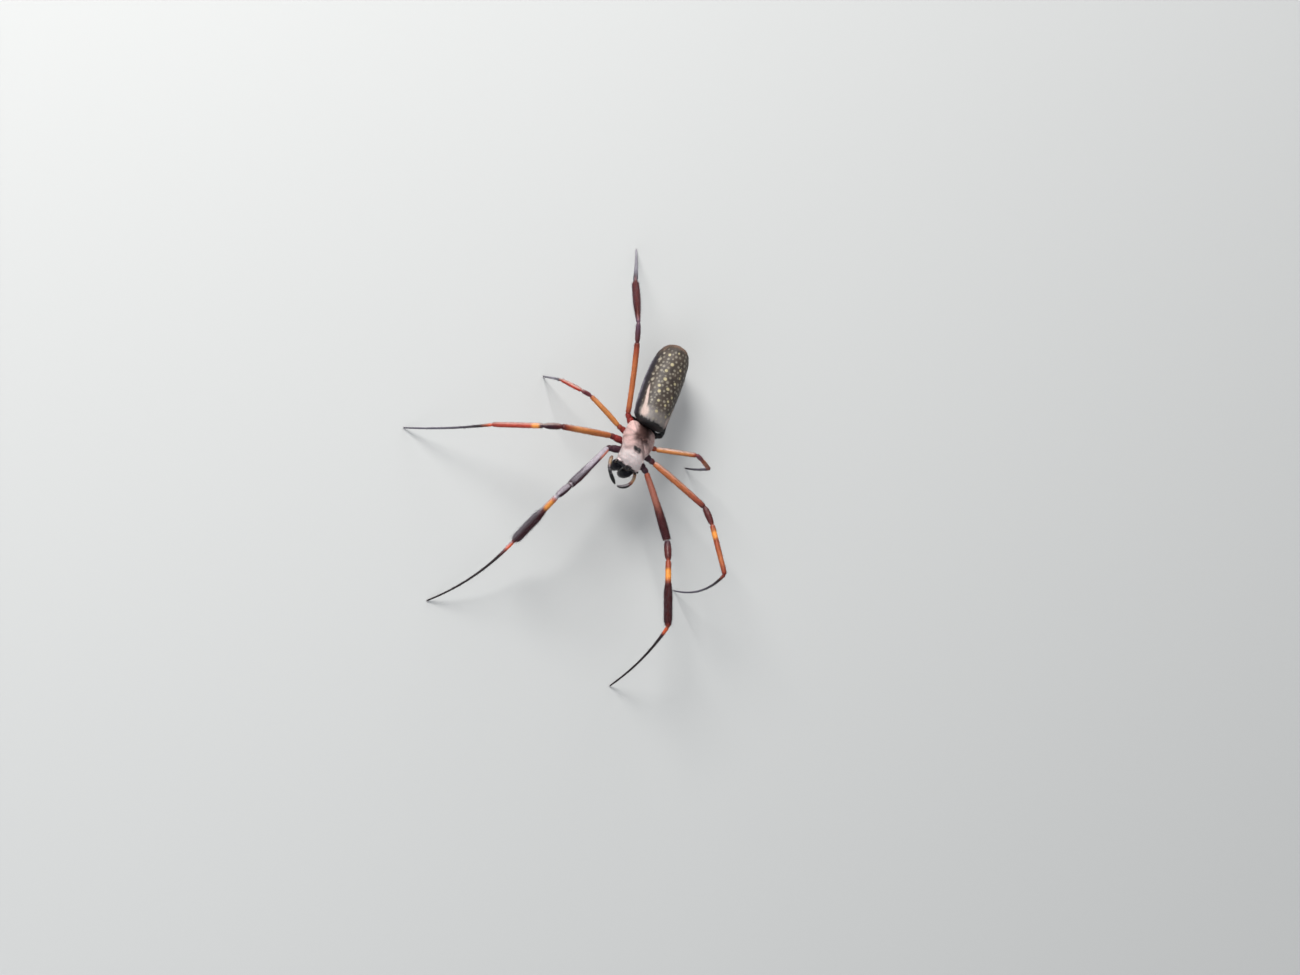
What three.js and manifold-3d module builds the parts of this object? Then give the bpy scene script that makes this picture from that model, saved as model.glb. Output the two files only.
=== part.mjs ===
// Golden silk orb weaver, adult female, life size, standing on the floor with its legs spread.
// Frame: millimetres, +Z up, floor at Z = 0, head towards -Y, the spider's left towards +X.
// The origin is on the floor, under the middle of the model's box.
// Every solid gives the outline out to the tips of the hair.

import * as THREE from "three";
import { mergeVertices } from "three/addons/utils/BufferGeometryUtils.js";
import Module from "manifold-3d";

const wasm = await Module();
wasm.setup();

// Clear space between neighbouring pieces, and round an eye in its socket
const GAP = 0.15;
const EYE_GAP = 0.05;

// Where the middle of the leg bases is, and how the body leans there
const BODY_X = 6.49;
const BODY_Y = 4.55;
const BODY_HEIGHT = 10.4;
const HEAD_RAISED = 6.5;
const LEFT_LOWERED = 5.7;

// Lengths of femur, patella, tibia and metatarsus with tarsus, of leg pairs 1 to 4
const SEGMENT_LENGTHS = [
  [13.5, 3.6, 12.9, 20.2],
  [12.8, 3.3, 9.9, 17.6],
  [8.0, 2.3, 4.8, 8.7],
  [14.0, 3.4, 8.8, 15.4],
];

// Where each pair's femora start, from the middle of the body: sideways and backwards
const FEMUR_STARTS = [
  [4.5, -3.8],
  [5.0, -1.5],
  [4.3, 0.9],
  [3.63, 3.84],
];

// Where each pair's coxae leave the body, in the same way, and how far below its middle
const COXA_STARTS = [
  [1.3, -2.5],
  [1.3, -0.95],
  [1.3, 0.65],
  [1.2, 2.1],
];
const COXA_DROP = 0.15;

// Thickness along each segment: share of its length, then radius
const COXA_RADII = [
  [[0, 0.6], [0.45, 0.8], [0.72, 0.74], [0.8, 0.6], [0.9, 0.66], [1, 0.58]],
  [[0, 0.6], [0.45, 0.78], [0.72, 0.72], [0.8, 0.58], [0.9, 0.64], [1, 0.56]],
  [[0, 0.55], [0.45, 0.7], [0.72, 0.64], [0.8, 0.52], [0.9, 0.56], [1, 0.5]],
  [[0, 0.6], [0.45, 0.78], [0.7, 0.7], [0.78, 0.56], [0.88, 0.62], [1, 0.54]],
];
const FEMUR_RADII = [
  [[0, 0.52], [0.08, 0.62], [0.3, 0.72], [0.55, 0.8], [0.75, 0.98], [0.9, 0.84], [1, 0.6]],
  [[0, 0.5], [0.08, 0.58], [0.3, 0.64], [0.55, 0.62], [0.8, 0.58], [0.94, 0.56], [1, 0.52]],
  [[0, 0.42], [0.1, 0.5], [0.35, 0.52], [0.7, 0.48], [0.92, 0.46], [1, 0.42]],
  [[0, 0.48], [0.08, 0.55], [0.3, 0.56], [0.55, 0.56], [0.8, 0.62], [0.94, 0.6], [1, 0.5]],
];
const PATELLA_RADII = [
  [[0, 0.58], [0.22, 0.78], [0.62, 0.74], [1, 0.56]],
  [[0, 0.52], [0.25, 0.68], [0.65, 0.64], [1, 0.5]],
  [[0, 0.42], [0.25, 0.47], [0.65, 0.45], [1, 0.38]],
  [[0, 0.48], [0.25, 0.56], [0.65, 0.54], [1, 0.44]],
];
const TIBIA_RADII = [
  [[0, 0.5], [0.1, 0.6], [0.24, 0.66], [0.36, 0.92], [0.55, 1.08], [0.75, 1.0], [0.94, 0.68], [1, 0.46]],
  [[0, 0.46], [0.12, 0.54], [0.4, 0.52], [0.7, 0.5], [0.93, 0.5], [1, 0.4]],
  [[0, 0.37], [0.15, 0.42], [0.5, 0.42], [0.88, 0.38], [1, 0.34]],
  [[0, 0.42], [0.12, 0.48], [0.3, 0.56], [0.5, 0.86], [0.7, 0.88], [0.9, 0.6], [1, 0.4]],
];
const METATARSUS_RADII = [
  [[0, 0.38], [0.08, 0.4], [0.2, 0.32], [0.4, 0.28], [0.6, 0.27], [0.8, 0.27], [1, 0.25]],
  [[0, 0.36], [0.08, 0.38], [0.2, 0.3], [0.4, 0.28], [0.6, 0.27], [0.8, 0.26], [1, 0.25]],
  [[0, 0.3], [0.12, 0.31], [0.3, 0.28], [0.6, 0.26], [1, 0.25]],
  [[0, 0.42], [0.08, 0.5], [0.3, 0.44], [0.6, 0.36], [0.85, 0.28], [1, 0.25]],
];

// The eight legs. Headings are degrees from straight ahead, with the spider's left positive,
// and rises are degrees above level, from femur on. The metatarsus goes down to the floor by itself.
// The arch is how far the middle of the femur stands above the straight line, and the bow how far
// that of the metatarsus stands off it. The folded leg stands wider at its base than its pair.
const LEGS = {
  leg1_right: {
    pair: 0, side: -1, headings: [-25, -27, -6, -24], rises: [25, 17, -41],
    arch: 0.35, bow: [1.0, -0.6, 0.2],
  },
  leg1_left: {
    pair: 0, side: 1, headings: [43, 22, 23, 1], rises: [8, 22, 11],
    arch: 0.35, bow: [0.7, -0.2, 0.2],
  },
  leg2_right: {
    pair: 1, side: -1, headings: [-68, -63, -65, -61], rises: [23, 4, -36],
    arch: 0.35, bow: [0.2, -0.3, 0.2],
  },
  leg2_left: {
    pair: 1, side: 1, headings: [75, 46, 37, -27], rises: [15, 17, 15],
    arch: 0.35, bow: [1.1, -1.1, 0.1],
  },
  leg3_right: {
    pair: 2, side: -1, headings: [-107, -83, -99, -128], rises: [0, 26, -43],
    arch: 0.35, bow: [-0.2, 0, 0.1],
  },
  leg3_left: {
    pair: 2, side: 1, headings: [108, 91, 92, -82], rises: [27, -39, -49.7],
    arch: 0.35, bow: [0.2, -0.1, 0],
  },
  leg4_right: {
    pair: 3, side: -1, headings: [-153.1, -148, -157, 172], rises: [18, 20, -22],
    arch: 0.35, bow: [0, 0, 0.3],
  },
  leg4_left: {
    pair: 3, side: 1, headings: [-179, 180, -20, 14], rises: [-21.5, -50, -3],
    arch: -0.5, bow: [0, 0, 0.35], wider: 0.75,
  },
};
const FOOT_BELOW_FLOOR = 0.15;
const FLOOR_CUT_WIDTH = 40;
const FLOOR_CUT_DEPTH = 4;
const LEG_SIDES = 10;
const METATARSUS_SIDES = 8;

// Shell of the head and thorax: backwards, half width, height of the crest, height of the lower edge
const CARAPACE = [
  [-5.8, 1.8, 1.35, 0.55],
  [-5.5, 2.45, 1.95, 0.3],
  [-4.7, 2.6, 2.5, 0.25],
  [-3.4, 2.58, 2.7, 0.3],
  [-2.2, 2.6, 2.55, 0.35],
  [-1.1, 3.05, 2.15, 0.4],
  [0.2, 3.35, 2.05, 0.4],
  [1.5, 3.25, 1.95, 0.4],
  [2.5, 2.95, 1.5, 0.4],
  [3.2, 2.45, 1.0, 0.4],
  [3.5, 1.6, 0.68, 0.4],
];
const CARAPACE_SIDES = 24;
const CARAPACE_SQUARENESS = 0.86;
const TUBERCLE_AT = [0.38, -1.75];
const TUBERCLE_HEIGHT = 0.4;
const TUBERCLE_SEAT = 0.08;
const TUBERCLE_RADIUS = 0.3;
const TUBERCLE_TIP_RADIUS = 0.08;
const TUBERCLE_SIDES = 7;

// Underside between the coxae, with the heart-shaped sternum: backwards, half width, top, bottom
const STERNUM = [
  [-4.9, 0.8, 0.1, -0.7],
  [-4.4, 1.4, 0.12, -1.1],
  [-3.2, 1.75, 0.12, -1.35],
  [-1.6, 2.0, 0.2, -1.45],
  [0.2, 1.95, 0.2, -1.4],
  [1.9, 1.5, 0.2, -1.2],
  [3.0, 0.95, 0.2, -0.85],
  [3.45, 0.5, 0.15, -0.5],
];
const STERNUM_SIDES = 20;
const STERNUM_SQUARENESS = 0.8;

// How far up their height the ovals of the body are widest
const WIDEST_AT = 0.35;

// Waist between thorax and abdomen, from front to back, and radii along it
const WAIST_PATH = [[0, 2.6, -0.1], [0.1, 3.9, 0.3], [0.3, 6.0, 0.6]];
const WAIST_RADII = [[0, 0.5], [0.5, 0.6], [1, 0.7]];
const WAIST_SIDES = 10;

// Abdomen: share of its length, half width, height above its axis, depth below it
const ABDOMEN_AT = [0.62, 3.3, 1.15];
const ABDOMEN_LENGTH = 17.35;
const ABDOMEN_TAIL_DOWN = 4;
const ABDOMEN_TAIL_TO_RIGHT = 1.5;
const RIM_LEANS = 0.1;
const BELLY_LEANS = 0.6;
const ABDOMEN_SIDES = 28;
const ABDOMEN_SQUARENESS = 0.94;
const ABDOMEN = [
  [0, 2.4, 1.7, 1.1],
  [0.02, 3.0, 2.25, 1.7],
  [0.06, 3.35, 2.65, 2.3],
  [0.15, 3.55, 2.85, 2.75],
  [0.3, 3.65, 2.95, 3.1],
  [0.52, 3.75, 3.0, 3.2],
  [0.68, 3.68, 2.95, 3.05],
  [0.84, 3.3, 2.75, 2.6],
  [0.93, 2.65, 2.3, 2.0],
  [0.98, 1.75, 1.6, 1.2],
  [1, 0.8, 0.8, 0.6],
];

// Spinnerets, at a share of the abdomen's length: a mound, and pegs by their place on it and lean
const SPINNERETS_AT = 0.8;
const MOUND = { top: 0.95, foot: 0.6, height: 1.5, depth: 2.85, sides: 12 };
const PEG = { top: 0.4, foot: 0.22, height: 1.7, depth: 3.25, sides: 8 };
const PEG_PLACES = [[0.38, -0.4, -18], [0.34, 0.4, 22]];

// Eyes: name, sideways, and the height on the front of the head at which each looks out, and how
// much it turns outwards. They are found from a point well ahead, and stand out by a share of them.
const EYE_RADIUS = 0.21;
const EYE_STANDS_OUT = 0.25;
const AHEAD = 8;
const INSIDE_HEAD = -5;
const HIGH_ABOVE = 20;
const EYES = {
  eye_front_middle: [0.34, 0.95, 0],
  eye_rear_middle: [0.4, 1.62, 0],
  eye_front_side: [1.95, 0.85, 0.55],
  eye_rear_side: [2.05, 1.38, 0.75],
};

// Jaws, fangs and feelers, as points from their base outwards, and radii along them
const CHELICERA_PATHS = {
  right: [[-1.2, -4.9, 0.75], [-1.1, -5.55, -0.9], [-1.03, -5.45, -3.2]],
  left: [[1.2, -4.9, 0.75], [1.35, -6.0, -0.9], [1.12, -5.65, -3.2]],
};
const CHELICERA_RADII = [[0, 0.55], [0.15, 0.98], [0.4, 1.1], [0.7, 1.02], [0.92, 0.75], [1, 0.4]];
const FANG_PATHS = {
  right: [[-1.05, -5.25, -3.65], [-0.8, -4.55, -4.25], [-0.25, -3.9, -3.7]],
  left: [[1.14, -5.45, -3.65], [0.89, -4.75, -4.25], [0.34, -4.1, -3.7]],
};
const FANG_RADII = [[0, 0.3], [0.3, 0.3], [0.65, 0.2], [1, 0.09]];
const PALP_PATHS = {
  palp_right: [[-2.55, -4.4, -1.1], [-3.3, -7.0, 0.35], [-2.2, -7.65, 0], [0.18, -8.62, -1.1]],
  palp_left: [[2.55, -4.4, -1.1], [3.1, -5.6, 0.4], [3.6, -8.05, -0.75], [1.07, -8.68, -1.3]],
};
const JAW_SIDES = 12;
const FANG_SIDES = 8;
const PALP_SIDES = 8;
const PALP_RADII = [
  [0, 0.34], [0.2, 0.36], [0.45, 0.34], [0.6, 0.34], [0.82, 0.42], [0.95, 0.36], [1, 0.25],
];

const COLOURS = {
  hairy: 0xb9b2a8,
  sternum: 0xc9742b,
  abdomen: 0x5c5140,
  coxa: 0x5a1f18,
  femur: 0xc4702e,
  patella: 0x4a2424,
  tibia: 0x8a3a22,
  metatarsus: 0x241c20,
  jaw: 0x101014,
  eye: 0x050506,
};
const DULL = 0.7;
const GLOSSY = 0.15;

// Corners closer than this are one
const WELD = 1e-5;
// A direction that no limb runs along, to start its rings from
const SIDE_OF_LIMB = [0.3, 0.1, 1];

const rad = THREE.MathUtils.degToRad;

// Solid parts from three.js geometry, and back
function toSolid(geometry) {
  const bare = geometry.clone();
  bare.deleteAttribute("normal");
  bare.deleteAttribute("uv");
  const merged = mergeVertices(bare, WELD);
  return new wasm.Manifold(new wasm.Mesh({
    numProp: 3,
    vertProperties: new Float32Array(merged.attributes.position.array),
    triVerts: new Uint32Array(merged.index.array),
  }));
}

function toGeometry(solid) {
  const mesh = solid.getMesh();
  const geometry = new THREE.BufferGeometry();
  geometry.setAttribute("position", new THREE.BufferAttribute(new Float32Array(mesh.vertProperties), 3));
  geometry.setIndex(new THREE.BufferAttribute(new Uint32Array(mesh.triVerts), 1));
  geometry.computeVertexNormals();
  return geometry;
}

function carve(geometry, cutters) {
  const start = toSolid(geometry);
  return toGeometry(cutters.reduce((left, cutter) => left.subtract(toSolid(cutter)), start));
}

// A closed surface over rings of equal count, with a fan over each end
function closedOver(rings) {
  const sides = rings[0].length;
  const points = rings.flat();
  const middles = [rings[0], rings[rings.length - 1]].map((ring) =>
    ring.reduce((sum, point) => sum.add(point), new THREE.Vector3()).divideScalar(sides));
  const [first, last] = [points.length, points.length + 1];
  const index = [];
  for (let side = 0; side < sides; side += 1) {
    const next = (side + 1) % sides;
    for (let row = 0; row + 1 < rings.length; row += 1) {
      const [a, b] = [row * sides + side, row * sides + next];
      index.push(a, b, b + sides, a, b + sides, a + sides);
    }
    const end = (rings.length - 1) * sides;
    index.push(first, next, side, last, end + side, end + next);
  }
  const geometry = new THREE.BufferGeometry().setFromPoints([...points, ...middles]);
  geometry.setIndex(index);
  geometry.computeVertexNormals();
  return geometry;
}

// A round limb along a curve. A mitre is the face where it meets the next limb: a point and a normal.
function limb(curve, radii, sides, startMitre = null, endMitre = null) {
  let across = new THREE.Vector3(...SIDE_OF_LIMB);
  const rings = radii.map(([share, radius], row) => {
    const centre = curve.getPoint(share);
    const along = curve.getTangent(share);
    across = across.clone().addScaledVector(along, -across.dot(along)).normalize();
    const other = new THREE.Vector3().crossVectors(along, across);
    const mitre = row === 0 ? startMitre : row === radii.length - 1 ? endMitre : null;
    return Array.from({ length: sides }, (_, side) => {
      const angle = (2 * Math.PI * side) / sides;
      const point = centre.clone();
      point.addScaledVector(across, radius * Math.cos(angle));
      point.addScaledVector(other, radius * Math.sin(angle));
      if (mitre) {
        const short = mitre.offset - point.clone().sub(mitre.point).dot(mitre.normal);
        point.addScaledVector(along, short / along.dot(mitre.normal));
      }
      return point;
    });
  });
  return closedOver(rings);
}

// A body shape over oval sections: place along Y, half width, top and bottom
function ovalBody(sections, sides, squareness, grow = 0) {
  const rings = sections.map(([along, halfWidth, top, bottom], row) => {
    const ends = row === 0 ? -grow : row === sections.length - 1 ? grow : 0;
    const middle = bottom + (top - bottom) * WIDEST_AT;
    return Array.from({ length: sides }, (_, side) => {
      const angle = (2 * Math.PI * side) / sides;
      const [c, s] = [Math.cos(angle), Math.sin(angle)];
      const reach = s > 0 ? top - middle : middle - bottom;
      const x = (halfWidth + grow) * Math.sign(c) * Math.abs(c) ** squareness;
      const z = middle + (reach + grow) * Math.sign(s) * Math.abs(s) ** squareness;
      return new THREE.Vector3(x, along + ends, z);
    });
  });
  return closedOver(rings.reverse());
}

// A curve that starts and ends at the outer points and is drawn towards the ones between
function curveThrough(points) {
  const Kind = points.length === 4 ? THREE.CubicBezierCurve3 : THREE.QuadraticBezierCurve3;
  return new Kind(...points.map((point) => new THREE.Vector3(...point)));
}

function addPart(group, name, geometry, colour, roughness = DULL) {
  const material = new THREE.MeshStandardMaterial({ color: colour, roughness, metalness: 0 });
  const part = new THREE.Mesh(geometry, material);
  part.name = name;
  group.add(part);
  return part;
}

// Carapace, with the pair of small tubercles behind the head
function carapaceShape(grow = 0) {
  return ovalBody(CARAPACE, CARAPACE_SIDES, CARAPACE_SQUARENESS, grow);
}

function sternumShape(grow = 0) {
  return ovalBody(STERNUM, STERNUM_SIDES, STERNUM_SQUARENESS, grow);
}

function tubercle(side) {
  const [x, y] = TUBERCLE_AT;
  const cone = pegShape({
    top: TUBERCLE_TIP_RADIUS, foot: TUBERCLE_RADIUS, height: TUBERCLE_HEIGHT, sides: TUBERCLE_SIDES,
  });
  cone.translate(side * x, y, heightAt(carapaceShape(), side * x, y) + TUBERCLE_SEAT);
  return cone;
}

function pegShape({ top, foot, height, sides }, lean = 0) {
  return new THREE.CylinderGeometry(top, foot, height, sides).rotateX(Math.PI / 2 + rad(lean));
}

function heightAt(geometry, x, y) {
  const ray = new THREE.Raycaster(new THREE.Vector3(x, y, HIGH_ABOVE), new THREE.Vector3(0, 0, -1));
  return ray.intersectObject(new THREE.Mesh(geometry))[0].point.z;
}

// Each eye is a ball, sunk into the front of the head
function eyeCentre(side, [x, z, outwards]) {
  const towards = new THREE.Vector3(-side * outwards, 1, 0).normalize();
  const start = new THREE.Vector3(side * x, INSIDE_HEAD, z).addScaledVector(towards, -AHEAD);
  const shell = new THREE.Mesh(carapaceShape());
  const hit = new THREE.Raycaster(start, towards).intersectObject(shell)[0];
  return hit.point.clone().addScaledVector(hit.face.normal, EYE_RADIUS * EYE_STANDS_OUT);
}

function eyeBall(side, placing, radius) {
  const centre = eyeCentre(side, placing);
  return new THREE.IcosahedronGeometry(radius, 1).translate(centre.x, centre.y, centre.z);
}

function headParts(group) {
  const shell = toSolid(carapaceShape()).add(toSolid(tubercle(1))).add(toSolid(tubercle(-1)));
  const sockets = [];
  for (const [name, placing] of Object.entries(EYES)) {
    for (const [side, word] of [[-1, "right"], [1, "left"]]) {
      sockets.push(eyeBall(side, placing, EYE_RADIUS + EYE_GAP));
      addPart(group, `${name}_${word}`, eyeBall(side, placing, EYE_RADIUS), COLOURS.eye, GLOSSY);
    }
  }
  addPart(group, "carapace", carve(toGeometry(shell), sockets), COLOURS.hairy);
  addPart(group, "sternum", sternumShape(), COLOURS.sternum);
}

function jawParts(group, walls) {
  for (const [word, path] of Object.entries(CHELICERA_PATHS)) {
    const jaw = carve(limb(curveThrough(path), CHELICERA_RADII, JAW_SIDES), walls);
    addPart(group, `chelicera_${word}`, jaw, COLOURS.jaw, GLOSSY);
    const claw = limb(curveThrough(FANG_PATHS[word]), FANG_RADII, FANG_SIDES);
    addPart(group, `fang_${word}`, claw, COLOURS.jaw, GLOSSY);
  }
}

function palpParts(group, walls) {
  for (const [name, path] of Object.entries(PALP_PATHS)) {
    const feeler = limb(curveThrough(path), PALP_RADII, PALP_SIDES);
    addPart(group, name, carve(feeler, walls), COLOURS.patella);
  }
}

// Abdomen, in a frame of its own that starts at the waist and runs along +Y
function abdomenShape(grow = 0) {
  const sections = ABDOMEN.map(([share, halfWidth, above, below]) =>
    [share * ABDOMEN_LENGTH, halfWidth, above, -below]);
  const shape = ovalBody(sections, ABDOMEN_SIDES, ABDOMEN_SQUARENESS, grow);
  const points = shape.attributes.position;
  for (let at = 0; at < points.count; at += 1) {
    const fade = (1 - points.getY(at) / ABDOMEN_LENGTH) ** 2;
    const lean = points.getZ(at) > 0 ? RIM_LEANS : BELLY_LEANS;
    points.setY(at, points.getY(at) - lean * fade * points.getZ(at));
  }
  return shape;
}

function spinneretsShape() {
  const place = SPINNERETS_AT * ABDOMEN_LENGTH;
  const pegs = [toSolid(pegShape(MOUND).translate(0, place, -MOUND.depth))];
  for (const [x, y, lean] of PEG_PLACES) {
    for (const side of [-1, 1]) {
      pegs.push(toSolid(pegShape(PEG, lean).translate(side * x, place + y, -PEG.depth)));
    }
  }
  return toGeometry(pegs.reduce((all, peg) => all.add(peg)));
}

function abdomenParts(body, shellWalls) {
  const group = new THREE.Group();
  group.position.set(...ABDOMEN_AT);
  group.rotation.set(-rad(ABDOMEN_TAIL_DOWN), 0, rad(ABDOMEN_TAIL_TO_RIGHT));
  body.add(group);
  addPart(group, "abdomen", abdomenShape(), COLOURS.abdomen);
  addPart(group, "spinnerets", carve(spinneretsShape(), [abdomenShape(GAP)]), COLOURS.patella);
  group.updateMatrix();
  const grown = abdomenShape(GAP).applyMatrix4(group.matrix);
  const waist = limb(curveThrough(WAIST_PATH), WAIST_RADII, WAIST_SIDES);
  addPart(body, "pedicel", carve(waist, [...shellWalls, grown]), COLOURS.coxa);
}

// The joints of one leg, from its femur's base to the foot on the floor
function legJoints({ pair, side, headings, rises, wider = 0 }, bodyFrame) {
  const [x, y] = FEMUR_STARTS[pair];
  const joints = [new THREE.Vector3(side * (x + wider), y, 0).applyMatrix4(bodyFrame)];
  SEGMENT_LENGTHS[pair].forEach((length, segment) => {
    const from = joints[segment];
    const drop = (from.z + FOOT_BELOW_FLOOR) / length;
    const rise = segment < rises.length ? rad(rises[segment]) : -Math.asin(drop);
    const heading = rad(headings[segment]);
    const step = new THREE.Vector3(Math.sin(heading), -Math.cos(heading), Math.tan(rise));
    joints.push(from.clone().addScaledVector(step.normalize(), length));
  });
  return joints;
}

function bentCurve(from, to, bow) {
  const control = from.clone().add(to).multiplyScalar(0.5).addScaledVector(bow, 2);
  return new THREE.QuadraticBezierCurve3(from, control, to);
}

function mitreBetween(before, after, offset) {
  const normal = before.getTangent(1).add(after.getTangent(0)).normalize();
  return { point: before.getPoint(1), normal, offset };
}

function legParts(group, name, leg, bodyFrame, walls) {
  const joints = legJoints(leg, bodyFrame);
  const [x, y] = COXA_STARTS[leg.pair];
  const coxaStart = new THREE.Vector3(leg.side * x, y, -COXA_DROP).applyMatrix4(bodyFrame);
  const none = new THREE.Vector3();
  const curves = [
    bentCurve(coxaStart, joints[0], none),
    bentCurve(joints[0], joints[1], new THREE.Vector3(0, 0, leg.arch)),
    bentCurve(joints[1], joints[2], none),
    bentCurve(joints[2], joints[3], none),
    bentCurve(joints[3], joints[4], new THREE.Vector3(...leg.bow)),
  ];
  const kinds = [
    ["coxa", COXA_RADII, COLOURS.coxa],
    ["femur", FEMUR_RADII, COLOURS.femur],
    ["patella", PATELLA_RADII, COLOURS.patella],
    ["tibia", TIBIA_RADII, COLOURS.tibia],
    ["metatarsus", METATARSUS_RADII, COLOURS.metatarsus],
  ];
  kinds.forEach(([word, radii, colour], at) => {
    const start = at > 0 ? mitreBetween(curves[at - 1], curves[at], GAP / 2) : null;
    const end = at + 1 < curves.length ? mitreBetween(curves[at], curves[at + 1], -GAP / 2) : null;
    const sides = word === "metatarsus" ? METATARSUS_SIDES : LEG_SIDES;
    let shape = limb(curves[at], radii[leg.pair], sides, start, end);
    if (word === "coxa") shape = carve(shape, walls);
    if (word === "metatarsus") shape = carve(shape, [underFloor(joints[joints.length - 1])]);
    addPart(group, `${name}_${word}`, shape, colour);
  });
}

// All below the floor near a foot, which leaves a small flat under it
function underFloor(foot) {
  const block = new THREE.BoxGeometry(FLOOR_CUT_WIDTH, FLOOR_CUT_WIDTH, FLOOR_CUT_DEPTH);
  return block.translate(foot.x, foot.y, -FLOOR_CUT_DEPTH / 2);
}

function spider() {
  const group = new THREE.Group();
  const body = new THREE.Group();
  body.position.set(BODY_X, BODY_Y, BODY_HEIGHT);
  body.rotation.set(-rad(HEAD_RAISED), rad(LEFT_LOWERED), 0);
  body.updateMatrix();
  group.add(body);
  const walls = [carapaceShape(GAP), sternumShape(GAP)];
  headParts(body);
  jawParts(body, walls);
  palpParts(body, walls);
  abdomenParts(body, walls);
  const turnedWalls = walls.map((wall) => wall.clone().applyMatrix4(body.matrix));
  for (const [name, leg] of Object.entries(LEGS)) {
    legParts(group, name, leg, body.matrix, turnedWalls);
  }
  return group;
}

export default spider();
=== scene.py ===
"""Golden silk orb weaver: skins, hair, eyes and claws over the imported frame, with stage and camera."""
import math

import bpy
import numpy as np
from mathutils import Matrix, Vector


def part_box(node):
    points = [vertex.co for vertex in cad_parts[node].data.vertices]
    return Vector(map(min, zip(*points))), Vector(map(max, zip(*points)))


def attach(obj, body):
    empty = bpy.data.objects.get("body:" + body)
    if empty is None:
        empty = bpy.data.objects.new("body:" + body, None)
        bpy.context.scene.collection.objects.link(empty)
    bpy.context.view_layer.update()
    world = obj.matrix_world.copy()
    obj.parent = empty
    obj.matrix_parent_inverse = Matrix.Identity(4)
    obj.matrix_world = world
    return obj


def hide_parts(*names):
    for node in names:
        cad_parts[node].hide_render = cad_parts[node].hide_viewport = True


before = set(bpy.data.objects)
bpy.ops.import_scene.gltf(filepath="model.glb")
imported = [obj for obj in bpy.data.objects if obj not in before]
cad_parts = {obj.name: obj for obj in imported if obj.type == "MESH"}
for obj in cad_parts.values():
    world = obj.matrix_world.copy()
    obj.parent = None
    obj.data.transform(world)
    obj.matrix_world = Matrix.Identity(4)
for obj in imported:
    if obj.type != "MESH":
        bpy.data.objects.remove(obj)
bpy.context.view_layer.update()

MM = 0.001
DETAIL = 1.0

# The body's place and lean, in millimetres and degrees, as in the frame
BODY_AT = np.array([6.49, 4.55, 10.4])
HEAD_RAISED = 6.5
LEFT_LOWERED = 5.7
ABDOMEN_AT = np.array([0.62, 3.3, 1.15])
ABDOMEN_LENGTH = 17.35
ABDOMEN_TAIL_DOWN = 4
ABDOMEN_TAIL_TO_RIGHT = 1.5
RIM_LEANS = 0.1
BELLY_LEANS = 0.6

# Camera: the photograph's view of the spider, as directions in the frame
TO_CAMERA = Vector((-0.302, -0.215, 0.929))
IMAGE_UP = Vector((-0.481, 0.875, 0.046))
AIM_RIGHT = 2.78
AIM_UP = -8.41
VIEW_WIDTH = 240.74
LENS = 200
SENSOR = 36


def turn(axis, degrees):
    """A turn about one axis, as a 3 x 3 matrix."""
    return np.array(Matrix.Rotation(math.radians(degrees), 3, axis))


BODY_TURN = turn("X", -HEAD_RAISED) @ turn("Y", LEFT_LOWERED)
ABDOMEN_TURN = turn("X", -ABDOMEN_TAIL_DOWN) @ turn("Z", ABDOMEN_TAIL_TO_RIGHT)


def from_body(points):
    return points @ BODY_TURN.T + BODY_AT


def to_body(points):
    return (points - BODY_AT) @ BODY_TURN


def from_abdomen(points):
    return from_body(points @ ABDOMEN_TURN.T + ABDOMEN_AT)


def unit(vectors):
    return vectors / np.maximum(np.linalg.norm(vectors, axis=-1, keepdims=True), 1e-9)


def smooth_step(values, low, high):
    """0 below low, 1 above high, and an even slope between them."""
    share = np.clip((values - low) / (high - low), 0, 1)
    return share * share * (3 - 2 * share)


def fade(values, low, high):
    """1 below low, 0 above high, and an even slope between them."""
    return 1 - smooth_step(values, low, high)


def between(values, start, full, late, end):
    """1 from full to late, falling to 0 at start and end."""
    return smooth_step(values, start, full) * fade(values, late, end)


def bell(values, middle, width):
    return np.exp(-(((values - middle) / width) ** 2))


def smoothed(keys, values, at, blur):
    """A table of values, read at places along it, with its corners rounded over a length."""
    total, weights = 0, 0
    for offset in np.linspace(-1, 1, 9):
        weight = 1.1 + math.cos(math.pi * offset)
        total = total + weight * np.interp(at + offset * blur, keys, values)
        weights += weight
    return total / weights


def random_cells(cells, seed):
    """A fixed random number from -1 to 1 for each whole-numbered cell."""
    mixed = (cells * np.array([73856093, 19349663, 83492791])).sum(-1) + seed * 6971
    mixed = (mixed * 2654435761) & 0xFFFFFFFF
    mixed = ((mixed ^ (mixed >> 15)) * 2246822519) & 0xFFFFFFFF
    return (mixed ^ (mixed >> 13)) / 0x7FFFFFFF - 1


def lumps(points, size, seed):
    """Smooth random values from -1 to 1, with lumps of about the given size."""
    cells = points / size
    base = np.floor(cells).astype(np.int64)
    part = cells - base
    part = part * part * (3 - 2 * part)
    total = 0
    for corner in np.ndindex(2, 2, 2):
        near = np.where(corner, part, 1 - part).prod(-1)
        total = total + near * random_cells(base + np.array(corner), seed)
    return total


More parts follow.
